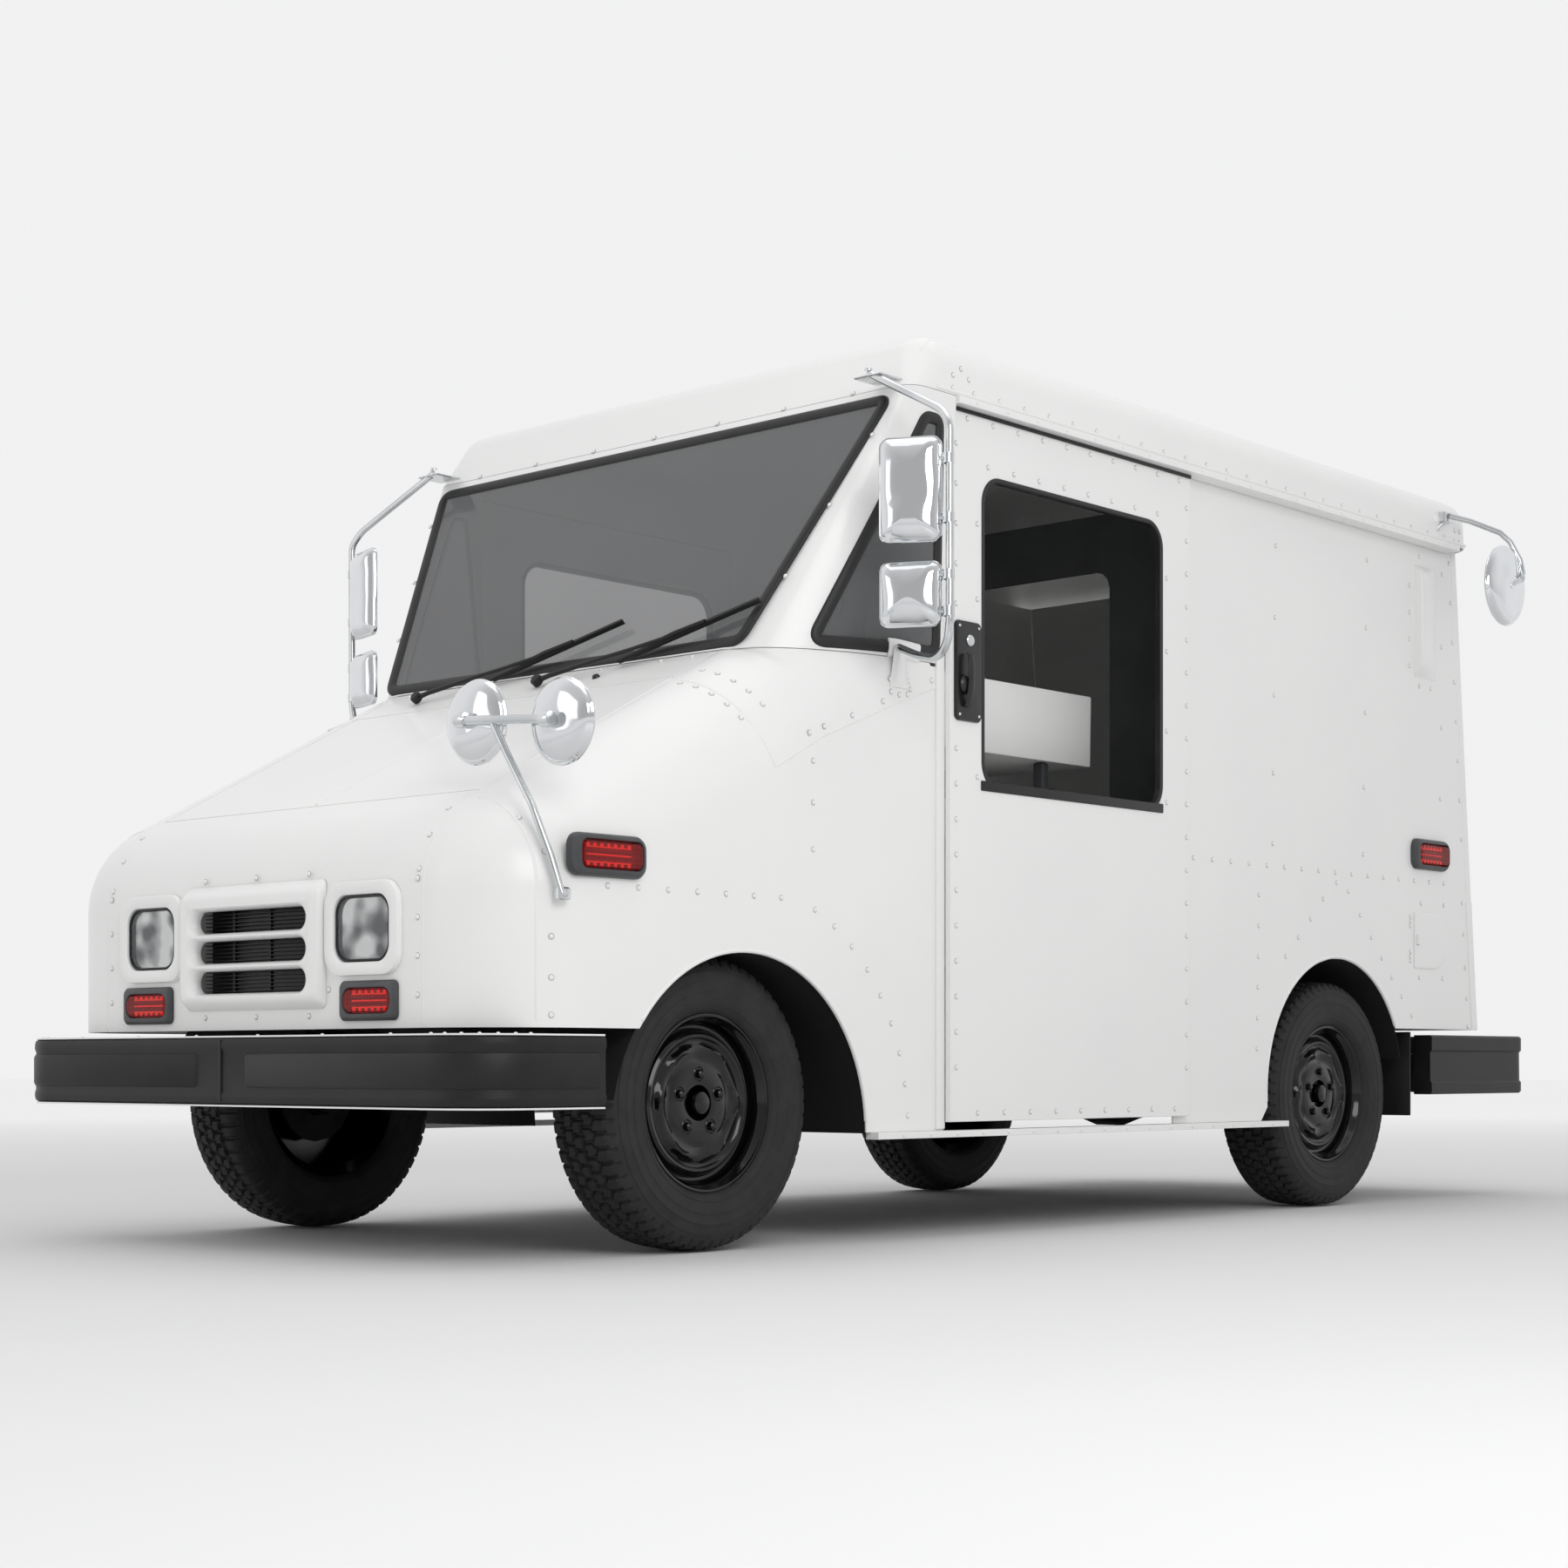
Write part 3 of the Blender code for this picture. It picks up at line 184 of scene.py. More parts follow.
liner_black = grained("underseal", "black_steel", "#060606", "#0B0B0B", (0.75, 0.9), 0.004, 0.0015)
seat_vinyl = grained("seat vinyl", "seat_vinyl", "#1A1A1C", "#232326", (0.40, 0.55), 0.004, 0.0009)
zinc_steel = grained("zinc-plated steel", "polished_steel", "#CFD2D4", "#E0E2E3", (0.12, 0.22), 0.003, 0.0002,
                     Metallic=1.0)
print(len(bpy.data.materials), "materials so far")

# %% [markdown]
# ## Polished steel and mirror glass
# The mirror shells are stainless steel pressed thin and then polished. The polish leaves a bright surface that is
# still slightly wavy from the press, so it reflects in soft bent streaks. The silvered glass is flat and sharper.

# %% Polished steel and silvered glass
polished_steel, tree, shader, place = finish("polished stainless steel", "polished_steel", Metallic=1.0,
                                             Roughness=0.09, Base_Color=linear("#E3E5E7"))
dents = add_node(tree, "ShaderNodeTexNoise", {"Vector": place, "Scale": 1 / 0.09, "Detail": 0.3})
bump = add_node(tree, "ShaderNodeBump", {"Height": dents.outputs["Fac"], "Strength": 0.45, "Distance": 0.03})
tree.links.new(bump.outputs["Normal"], shader.inputs["Normal"])
silvered_glass, tree, shader, place = finish("silvered glass", "polished_steel", Metallic=1.0, Roughness=0.02,
                                             Base_Color=linear("#DDE1E2"))
mist = add_node(tree, "ShaderNodeTexNoise", {"Vector": place, "Scale": 1 / 0.06})
spread = add_node(tree, "ShaderNodeMapRange", {"Value": mist.outputs["Fac"], "To Min": 0.01, "To Max": 0.06})
tree.links.new(spread.outputs["Result"], shader.inputs["Roughness"])

# %% Reflector, with painted reflection streaks
reflector, tree, shader, place = finish("aluminised reflector", "polished_steel", Metallic=1.0, Roughness=0.12)
# the bowl's colour runs from dark grey to bright in streaks: painted reflection bands
painted_reflection_streak = add_node(tree, "ShaderNodeTexNoise", {"Vector": place, "Scale": 1 / 0.05, "Detail": 0.5})
ramp = add_node(tree, "ShaderNodeValToRGB", {"Fac": painted_reflection_streak.outputs["Fac"]})
ramp.color_ramp.elements[0].color, ramp.color_ramp.elements[1].color = linear("#4C4C4C"), linear("#E0E0DF")
ramp.color_ramp.elements[0].position, ramp.color_ramp.elements[1].position = 0.35, 0.65
tree.links.new(ramp.outputs["Color"], shader.inputs["Base Color"])

# %% [markdown]
# ## Glass and lenses
# The windows are smoke-tinted safety glass: grey all through, so the cab behind looks veiled and dark. A partly
# transparent shader gives that veil without the noise of real refraction. The headlamp glass is clear, and the
# signal lenses are red acrylic, moulded with a small grid that scatters the light of the diodes behind it.

# %% Smoke glass, clear glass and red acrylic
smoke_glass, tree, shader, place = finish("smoke-tinted glass", "tinted_glass", IOR=1.5, Alpha=0.62,
                                          Roughness=0.03)
haze = add_node(tree, "ShaderNodeTexNoise", {"Vector": place, "Scale": 1 / 0.4, "Detail": 2.0})
ramp = add_node(tree, "ShaderNodeValToRGB", {"Fac": haze.outputs["Fac"]})
ramp.color_ramp.elements[0].color, ramp.color_ramp.elements[1].color = linear("#6A6B6C"), linear("#747576")
tree.links.new(ramp.outputs["Color"], shader.inputs["Base Color"])

clear_glass, tree, shader, place = finish("clear lamp glass", "clear_lens", IOR=1.5, Alpha=0.10, Roughness=0.03,
                                          Base_Color=linear("#C9CDD0"))
flutes = add_node(tree, "ShaderNodeTexWave", {"Vector": place, "Scale": 1 / (0.02 * FULL_TURN / 2)})
bump = add_node(tree, "ShaderNodeBump", {"Height": flutes.outputs["Fac"], "Strength": 0.2, "Distance": 0.0006})
tree.links.new(bump.outputs["Normal"], shader.inputs["Normal"])

red_acrylic, tree, shader, place = finish("red acrylic", "red_lens", IOR=1.49, Alpha=0.58, Roughness=0.08)
cells = add_node(tree, "ShaderNodeTexVoronoi", {"Vector": place, "Scale": 1 / 0.011, "Randomness": 0.0})
ramp = add_node(tree, "ShaderNodeValToRGB", {"Fac": cells.outputs["Distance"]})
ramp.color_ramp.elements[0].color, ramp.color_ramp.elements[1].color = linear("#C8161A"), linear("#6E0508")
ramp.color_ramp.elements[1].position = 0.7
tree.links.new(ramp.outputs["Color"], shader.inputs["Base Color"])
bump = add_node(tree, "ShaderNodeBump", {"Height": cells.outputs["Distance"], "Strength": 0.4, "Distance": 0.001})
tree.links.new(bump.outputs["Normal"], shader.inputs["Normal"])

diode_red = grained("lit red diode", "red_lens", "#FF2A22", "#FF4A3C", (0.2, 0.3), 0.003, 0.0002,
                    Emission_Color=linear("#FF3020"), Emission_Strength=0.8)
dark_red = grained("dark red acrylic", "red_lens", "#5A0708", "#780B0C", (0.15, 0.25), 0.004, 0.0003)

# %% [markdown]
# ## Shapes from rings
# Nearly every piece here is one of a few shop shapes: a skin stretched through rings, a flat plate with holes, a
# sheet of even thickness, a lathe-turned ring, or a strip of one section swept along a line. Each helper returns
# points and faces, so shapes can be merged before they become an object.


# %% Shape helpers
def loft(rings, caps=True, closed=False):
    """Points and faces through rings of equal length."""
    count = len(rings[0])
    points = [Vector(p) for ring in rings for p in ring]
    faces = []
    for r in range(len(rings) if closed else len(rings) - 1):
        a, b = r * count, (r + 1) % len(rings) * count
        faces += [(a + i, a + (i + 1) % count, b + (i + 1) % count, b + i) for i in range(count)]
    if caps and not closed:
        faces += [tuple(reversed(range(count))), tuple(range((len(rings) - 1) * count, len(rings) * count))]
    return points, faces


def merge(*shapes):
    """Several shapes as one."""
    points, faces = [], []
    for some_points, some_faces in shapes:
        faces += [tuple(i + len(points) for i in face) for face in some_faces]
        points += [Vector(p) for p in some_points]
    return points, faces


def moved(shape, matrix):
    return [matrix @ Vector(p) for p in shape[0]], shape[1]


def flipped(shape, sign):
    """The shape itself for the left side, and its mirror image for the right."""
    return [Vector((p[0] * sign, p[1], p[2])) for p in shape[0]], shape[1]


def mirrored(pairs, sign):
    """Pairs of place and normal themselves for the left side, and mirrored for the right."""
    return [tuple(Vector((v[0] * sign, v[1], v[2])) for v in pair) for pair in pairs]


def standing(place, out):
    """The matrix that sets a shape made about Z at a place, to stand along a direction."""
    return Matrix.Translation(place) @ Vector(out).to_track_quat("Z", "X").to_matrix().to_4x4()


def rounded(width, height, radius, steps=6):
    """Outline of a rounded rectangle about its middle."""
    outline = []
    for quarter, (sx, sy) in enumerate(((1, 1), (-1, 1), (-1, -1), (1, -1))):
        for i in range(steps + 1):
            a = math.pi / 2 * (quarter + i / steps)
            outline.append((sx * (width / 2 - radius) + radius * math.cos(a),
                            sy * (height / 2 - radius) + radius * math.sin(a)))
    return outline


def shell(points, normals, faces, thickness=0.004):
    """A sheet of even thickness: the given faces are its outer side, and its rim is closed."""
    keys, index, outer, inner = {}, [], [], []
    for p, n in zip(points, normals):
        key = tuple(round(c, 5) for c in p)
        if key not in keys:
            keys[key] = len(outer)
            outer.append(Vector(p))
            inner.append(Vector(p) - Vector(n).normalized() * thickness)
        index.append(keys[key])
    kept = []
    for face in faces:
        face = [index[i] for i in face]
        face = [v for k, v in enumerate(face) if v != face[k - 1]]
        if len(set(face)) > 2:
            kept.append(face)
    edges = {}
    for face in kept:
        for k, v in enumerate(face):
            pair = (face[k - 1], v)
            key = tuple(sorted(pair))
            edges[key] = None if key in edges else pair
    count = len(outer)
    result = [tuple(f) for f in kept] + [tuple(i + count for i in reversed(f)) for f in kept]
    result += [(b, a, a + count, b + count) for a, b in (e for e in edges.values() if e)]
    return outer + inner, result


def turned(profile, centre=(0, 0, 0), axis="X", steps=48, closed=True):
    """A ring turned about an axis. profile holds (radius, distance along the axis), closed or capped at its ends."""
    rings = []
    for k in range(steps):
        c, s = math.cos(FULL_TURN * k / steps), math.sin(FULL_TURN * k / steps)
        place_of = {"X": lambda r, d: (d, r * c, r * s), "Y": lambda r, d: (r * c, d, r * s),
                    "Z": lambda r, d: (r * c, r * s, d)}[axis]
        rings.append([Vector(centre) + Vector(place_of(r, d)) for r, d in profile])
    points, faces = loft(rings, closed=True)
    if not closed:
        size = len(profile)
        faces = [f for f in faces if not (f[0] % size == size - 1 and f[1] % size == 0)]
    return points, faces


def sweep(path, normals, section, closed=False):
    """A strip of one section along a path. The section holds (across, out); out follows the normals."""
    path = [Vector(p) for p in path]
    rings = []
    for i, (p, n) in enumerate(zip(path, normals)):
        before = path[i - 1] if closed or i else p
        after = path[(i + 1) % len(path)] if closed or i < len(path) - 1 else p
        ahead = (after - before).normalized()
        out = Vector(n) - ahead * Vector(n).dot(ahead)
        out.normalize()
        across = ahead.cross(out)
        rings.append([p + across * u + out * v for u, v in section])
    return loft(rings, closed=closed)


def bead(width, height, sink=0.001, steps=6):
    """Section of a half-round strip."""
    arc = [(width / 2 * math.cos(math.pi * k / steps), height * math.sin(math.pi * k / steps))
           for k in range(steps + 1)]
    return [(width / 2, -sink), *arc, (-width / 2, -sink)]


def tube(route, radius, sides=12, flatten=1.0, taper=1.0):
    """A bar along a route. taper is the end's radius as a share of the start's."""
    route = [Vector(p) for p in route]
    rings, side = [], None
    for i, p in enumerate(route):
        ahead = (route[min(i + 1, len(route) - 1)] - route[max(i - 1, 0)]).normalized()
        side = ahead.orthogonal().normalized() if side is None else side
        side = (side - ahead * side.dot(ahead)).normalized()
        up = ahead.cross(side)
        r = radius * (1 + (taper - 1) * i / (len(route) - 1))
        rings.append([p + side * r * math.cos(a) + up * r * flatten * math.sin(a)
                      for a in (FULL_TURN * k / sides for k in range(sides))])
    return loft(rings)


def round_corners(corners, radii, closed=True, steps=6):
    """A polygon in two or three dimensions with its corners rounded by short curves."""
    count = len(corners)
    corners = [Vector(c) for c in corners]
    loop = []
    for i, corner in enumerate(corners):
        radius = radii[i % len(radii)] if isinstance(radii, (list, tuple)) else radii
        if not closed and i in (0, count - 1):
            loop.append(corner)
            continue
        back = (corners[i - 1] - corner).normalized()
        ahead = (corners[(i + 1) % count] - corner).normalized()
        for t in (k / steps for k in range(steps + 1)):
            loop.append(corner + back * radius * (1 - t) ** 2 + ahead * radius * t ** 2)
    return loop


def block(low, high, edge=0.002):
    """A box with chamfered edges."""
    middle = [(a + b) / 2 for a, b in zip(low, high)]
    size = [abs(b - a) for a, b in zip(low, high)]
    edge = min(edge, min(size) / 3)
    rings = []
    for z, inset in ((0, edge), (edge, 0), (size[2] - edge, 0), (size[2], edge)):
        outline = rounded(size[0] - 2 * inset, size[1] - 2 * inset, edge, 2)
        rings.append([(middle[0] + u, middle[1] + v, min(low[2], high[2]) + z) for u, v in outline])
    return loft(rings)


# %% [markdown]
# ## From shape to piece
# A piece is an object with a name, a finish and a body that it rides on. Where it stands for a plainer CAD node,
# it says so, and that node is hidden. Faces that meet at less than the sharp angle are shaded smoothly.


# %% Making a piece
def mesh_of(name, shape, weld=2e-5):
    """A mesh with its faces turned outward. Points nearer than the weld distance become one."""
    mesh = bpy.data.meshes.new(name)
    mesh.from_pydata([tuple(p) for p in shape[0]], [], [tuple(f) for f in shape[1]])
    work = bmesh.new()
    work.from_mesh(mesh)
    if weld:
        bmesh.ops.remove_doubles(work, verts=work.verts, dist=weld)
        bmesh.ops.dissolve_degenerate(work, edges=work.edges, dist=1e-6)
    bmesh.ops.recalc_face_normals(work, faces=work.faces)
    work.to_mesh(mesh)
    work.free()
    return mesh


def piece(name, shape, material, body="truck", stands_for=(), sharp=35.0, location=None, turn=None):
    return from_mesh(name, mesh_of(name, shape), material, body, stands_for, sharp, location, turn)


def from_mesh(name, mesh, material, body="truck", stands_for=(), sharp=35.0, location=None, turn=None):
    """A piece from a mesh that may be shared with its copies."""
    mesh.shade_smooth()
    mesh.set_sharp_from_angle(angle=math.radians(sharp))
    if not mesh.materials:
        mesh.materials.append(material)
    obj = bpy.data.objects.new(name, mesh)
    bpy.context.scene.collection.objects.link(obj)
    if turn is not None:
        obj.rotation_euler = turn
    if location is not None:
        obj.location = location
    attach(obj, body)
    if stands_for:
        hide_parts(*stands_for)
    return obj


def carve(obj, shapes):
    """Cuts shapes out of a piece and keeps the result as its mesh."""
    for shape in shapes:
        cutter = bpy.data.objects.new("cutter", mesh_of("cutter", shape, weld=0))
        bpy.context.scene.collection.objects.link(cutter)
        modifier = obj.modifiers.new("cut", "BOOLEAN")
        modifier.object, modifier.operation, modifier.solver = cutter, "DIFFERENCE", "EXACT"
        graph = bpy.context.evaluated_depsgraph_get()
        result = bpy.data.meshes.new_from_object(obj.evaluated_get(graph))
        obj.modifiers.clear()
        obj.data = result
        bpy.data.objects.remove(cutter)
    obj.data.shade_smooth()
    obj.data.set_sharp_from_angle(angle=math.radians(35))


# %% [markdown]
# ## Carried-over parts
# Flat sheets, frames and castings already have their true shape. Their triangles come in unwelded, so a small
# geometry-nodes group welds them and shades them by angle, and a bevel then softens each edge the way a folded or
# cast edge is, which lets it catch the light.

# %% Dressing a CAD node
weld_group = bpy.data.node_groups.new("weld and shade", "GeometryNodeTree")
weld_group.interface.new_socket("Geometry", in_out="INPUT", socket_type="NodeSocketGeometry")
weld_group.interface.new_socket("Geometry", in_out="OUTPUT", socket_type="NodeSocketGeometry")
entry = add_node(weld_group, "NodeGroupInput")
bare = add_node(weld_group, "GeometryNodeRemoveAttribute", {0: entry.outputs[0], "Name": "custom_normal"})
welded = add_node(weld_group, "GeometryNodeMergeByDistance", {0: bare.outputs[0], "Distance": 2e-5})
smooth = add_node(weld_group, "GeometryNodeSetShadeSmooth", {0: welded.outputs[0], "Shade Smooth": True})
angle = add_node(weld_group, "GeometryNodeInputMeshEdgeAngle")
steep = add_node(weld_group, "FunctionNodeCompare", {0: angle.outputs[0], 1: math.radians(35)},
                 data_type="FLOAT", operation="GREATER_THAN")
crisp = add_node(weld_group, "GeometryNodeSetShadeSmooth", {0: smooth.outputs[0], "Selection": steep.outputs[0],
                                                            "Shade Smooth": False}, domain="EDGE")
add_node(weld_group, "NodeGroupOutput", {0: crisp.outputs[0]})


def dress(node, material, edge=0.0015):
    """Gives a CAD node its finish, smooth shading and softened edges."""
    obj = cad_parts[node]
    obj.data.materials.clear()
    obj.data.materials.append(material)
    obj.modifiers.new("weld", "NODES").node_group = weld_group
    if edge:
        soft = obj.modifiers.new("edges", "BEVEL")
        soft.width, soft.segments, soft.limit_method = edge, 2, "ANGLE"
        soft.angle_limit = math.radians(40)
        soft.harden_normals = True


for node in ("hood", "cowl_panel", "rear_frame"):
    dress(node, enamel)
for side, sign in SIDES:
    for node in ("cargo_side", "door", "door_rail", "side_sill"):
        dress(f"{node}_{side}", enamel, 0.001)
    dress(f"quarter_glass_{side}", smoke_glass, 0)
    dress(f"knuckle_{side}", cast_iron)
dress("windshield_glass", smoke_glass, 0)
dress("chassis_frame", liner_black)
dress("floor_pan", primer_and_painted_shade)
dress("bulkhead", primer_and_painted_shade)
dress("dash_tray", enamel, 0.006)
dress("engine_block", cast_iron, 0.01)
dress("rear_axle", cast_iron, 0.004)

# %% [markdown]
# ## Rivets
# The panels are held by round-head rivets about 11 mm across, roughly 90 mm apart. Hundreds of separate objects
# would be slow to handle, so each row is one mesh of small domes, each turned to its panel's normal.


# %% Rivets
RIVET_RADIUS, RIVET_HEIGHT, SMALL_RIVET = 0.0056, 0.0042, 0.0042
RING_SPREAD, RING_SIDES = 1.22, 12
rivet_shadow_rings = {}


def dome_shape(place, normal, radius=RIVET_RADIUS, height=RIVET_HEIGHT, sides=10):
    """A low dome that stands on a surface."""
    normal = Vector(normal).normalized()
    across = normal.orthogonal().normalized()
    up = normal.cross(across)
    rings = []
    for r, h in ((1.0, -0.3), (1.0, 0.12), (0.82, 0.6), (0.45, 0.92)):
        rings.append([Vector(place) + (across * math.cos(a) + up * math.sin(a)) * r * radius + normal * h * height
                      for a in (FULL_TURN * k / sides for k in range(sides))])
    return loft(rings)


def rivets(name, places, body="truck", material=None, radius=RIVET_RADIUS):
    """places holds (point, normal) pairs. Each rivet also leaves a flat grey ring round its head, a painted shadow.
    """
    for p, n in places if radius > SMALL_RIVET else ():
        n = Vector(n).normalized()
        side = n.orthogonal().normalized()
        ring = [Vector(p) + (side * math.cos(a) + n.cross(side) * math.sin(a)) * radius * RING_SPREAD
                for a in (FULL_TURN * k / RING_SIDES for k in range(RING_SIDES))]
        # the flat grey disc round each head is painted shadow
        disc = loft([[q + n * lift for q in ring] for lift in (-0.0004, 0.0003)])
        rivet_shadow_rings.setdefault(body, []).append(disc)
    shape = merge(*(dome_shape(p, n, radius, radius * RIVET_HEIGHT / RIVET_RADIUS) for p, n in places))
    return piece(name, shape, material or enamel, body, sharp=60)


def run(start, end, count):
    """Evenly spaced pairs between two pairs, both included."""
    return [tuple(a + (b - a) * k / (count - 1) for a, b in zip(start, end)) for k in range(count)]


def on_side(pairs, sign, x=HALF_WIDTH):
    """Stations and heights as rivet places on a flat side of the truck."""
    return [((sign * x, at(s), z), (sign, 0, 0)) for s, z in pairs]


# %% [markdown]
# ## The rounded nose
# The nose is one solid thought: a core line with a quarter-round of 225 mm radius about it, so hood, corner and
# side flow into each other. The fender panel is drawn from that rule at three times the fineness of the plan, cut
# along the wheel arch and closed as 4 mm sheet.

# %% Nose surface
GAP = 0.0004
NOSE_FACE, NOSE_BOTTOM, NOSE_RADIUS, SEAM_X = -0.662, 0.483, 0.225, 0.5625
HOOD_RISE, HOOD_FRONT = 0.52, (-0.506, 0.980)
GLASS_BASE, SCREEN_TOP = (0.212, 1.3532), (0.551, 1.957)
HOOD_ANGLE = math.atan(HOOD_RISE)
HOOD_NORMAL = (-math.sin(HOOD_ANGLE), math.cos(HOOD_ANGLE))
CORE_X = HALF_WIDTH - NOSE_RADIUS
POST, SILL_TOP = 0.733, 0.252
FRONT_ARCH, REAR_ARCH = (0.05, 0.25, 0.402), (2.545, 0.333, 0.380)
FINE = 16


def hood_height(station):
    return HOOD_FRONT[1] + HOOD_RISE * (station - HOOD_FRONT[0])


def core_height(station):
    return hood_height(station) - NOSE_RADIUS / math.cos(HOOD_ANGLE)


NOSE_CORE = (NOSE_FACE + NOSE_RADIUS, core_height(NOSE_FACE + NOSE_RADIUS))


def nose_arc(steps=FINE):
    """Directions from the front face's to the hood's, about the nose's core."""
    return [(-math.cos(a), math.sin(a)) for a in (k / steps * (math.pi / 2 - HOOD_ANGLE) for k in range(steps + 1))]


def nose_ring(core, normal, start=0.0, steps=FINE, lift=0.0):
    """Points and normals from the top of the shoulder, at angle start, down to the body side."""
    ring = []
    for k in range(steps + 1):
        a = start + (math.pi / 2 - start) * k / steps
        n = Vector((math.sin(a), normal[0] * math.cos(a), normal[1] * math.cos(a)))
        ring.append((Vector((CORE_X, at(core[0]), core[1])) + (NOSE_RADIUS + lift) * n, n))
    return ring


def shoulder(station, steps=FINE, lift=0.0):
    return nose_ring((station, core_height(station)), HOOD_NORMAL, steps=steps, lift=lift)


def grid_faces(rows, columns):
    return [(r * columns + c, r * columns + c + 1, (r + 1) * columns + c + 1, (r + 1) * columns + c)
            for r in range(rows - 1) for c in range(columns - 1)]


def arc_points(circle, start, end, steps):
    s0, z0, radius = circle
    return [(s0 + radius * math.cos(a), z0 + radius * math.sin(a))
            for a in (start + (end - start) * k / steps for k in range(steps + 1))]


def fender_shape():
    edge_x = SEAM_X + 0.001
    rings = [[(Vector((edge_x, at(NOSE_FACE), NOSE_BOTTOM)), (0, -1, 0))]
             + nose_ring((NOSE_CORE[0], NOSE_BOTTOM), (-1.0, 0.0))]
    for n in nose_arc():
        edge = Vector((edge_x, at(NOSE_CORE[0] + NOSE_RADIUS * n[0]), NOSE_CORE[1] + NOSE_RADIUS * n[1]))
        rings.append([(edge, (0, *n))] + nose_ring(NOSE_CORE, n))
    full = GLASS_BASE[0] - NOSE_RADIUS * HOOD_NORMAL[0] - 0.004
    for station in (NOSE_CORE[0] + (full - NOSE_CORE[0]) * k / 8 for k in range(1, 9)):
        top = Vector((edge_x, at(station + NOSE_RADIUS * HOOD_NORMAL[0]),
                      core_height(station) + NOSE_RADIUS * HOOD_NORMAL[1]))
        rings.append([(top, (0, *HOOD_NORMAL))] + shoulder(station))
    for station in (full + (0.685 - full) * k / 14 for k in range(1, 15)):
        core = (station, core_height(station))
        lift = (GLASS_BASE[1] - 0.001 - core[1]) / (NOSE_RADIUS * HOOD_NORMAL[1])
        ring = nose_ring(core, HOOD_NORMAL, math.acos(max(min(lift, 1), 0)))
        rings.append([ring[0]] + ring)
    points = [p for ring in rings for p, _ in ring]
    normals = [n for ring in rings for _, n in ring]
    faces = grid_faces(len(rings), len(rings[0]))
    start = math.asin((SILL_TOP + GAP - FRONT_ARCH[1]) / FRONT_ARCH[2])
    end = math.pi - math.asin((NOSE_BOTTOM - FRONT_ARCH[1]) / FRONT_ARCH[2])
    outline = [(ring[-1][0].y - AXLE_Y, ring[-1][0].z) for ring in rings]
    outline += [(POST, rings[-1][-1][0].z), (POST, SILL_TOP + GAP), *arc_points(FRONT_ARCH, start, end, 40)]
    faces += [tuple(len(points) + i for i in t)
              for t in tessellate_polygon([[Vector((s, z, 0)) for s, z in outline]])]
    points += [Vector((HALF_WIDTH, at(s), z)) for s, z in outline]
    normals += [(1, 0, 0)] * len(outline)
    return shell(points, normals, faces)


for side, sign in SIDES:
    piece(f"fender_panel_{side}", flipped(fender_shape(), sign), enamel, stands_for=[f"front_fender_{side}"])


def front_panel_shape():
    """Flat front and its bend up to the hood, as sheet, from seam to seam."""
    profile = [(NOSE_FACE, NOSE_BOTTOM, (-1.0, 0.0))]
    profile += [(NOSE_CORE[0] + NOSE_RADIUS * n[0], NOSE_CORE[1] + NOSE_RADIUS * n[1], n) for n in nose_arc()]
    profile.append((*HOOD_FRONT, HOOD_NORMAL))
    points, normals = [], []
    for station, height, normal in profile:
        for x in (-SEAM_X, SEAM_X):
            points.append((x, at(station), height))
            normals.append((0, *normal))
    return shell(points, normals, grid_faces(len(profile), 2))


def opening(x, z, wide, high, radius, depth=0.04):
    """A cutter for a rounded hole through the nose panel."""
    return loft([[(x + u, at(NOSE_FACE + d), z + v) for u, v in rounded(wide, high, radius)]
                 for d in (-depth, depth)])


LAMP = (0.376, 0.692)
GRILLE_Z = 0.655
front_panel = piece("nose_panel", front_panel_shape(), enamel, stands_for=["front_panel"])
carve(front_panel, [opening(0.0, GRILLE_Z, 0.436, 0.235, 0.03)]
      + [opening(sign * LAMP[0], LAMP[1], 0.176, 0.140, 0.03) for _, sign in SIDES])
print("fender fineness", FINE, "steps per quarter round")

# %% [markdown]
# ## Seams and rivets of the nose
# Where two sheets meet, the gap is filled and painted over, and from a few metres it reads as a thin raised line.
# A strip 6 mm wide and 1.6 mm high does this. One seam runs down the shoulder from the hood's rear edge, then along
# the side to the door post. A second one closes the nose's corner cap.

# %% Nose seams
SEAM = bead(0.006, 0.0016)
CORNER_SEAM_CORE = 0.143


def strip(name, pairs, material=None, body="truck", section=None, closed=False):
    """A strip along (point, normal) pairs."""
    shape = sweep([p for p, _ in pairs], [n for _, n in pairs], section or SEAM, closed)
    return piece(name, shape, material or enamel, body)


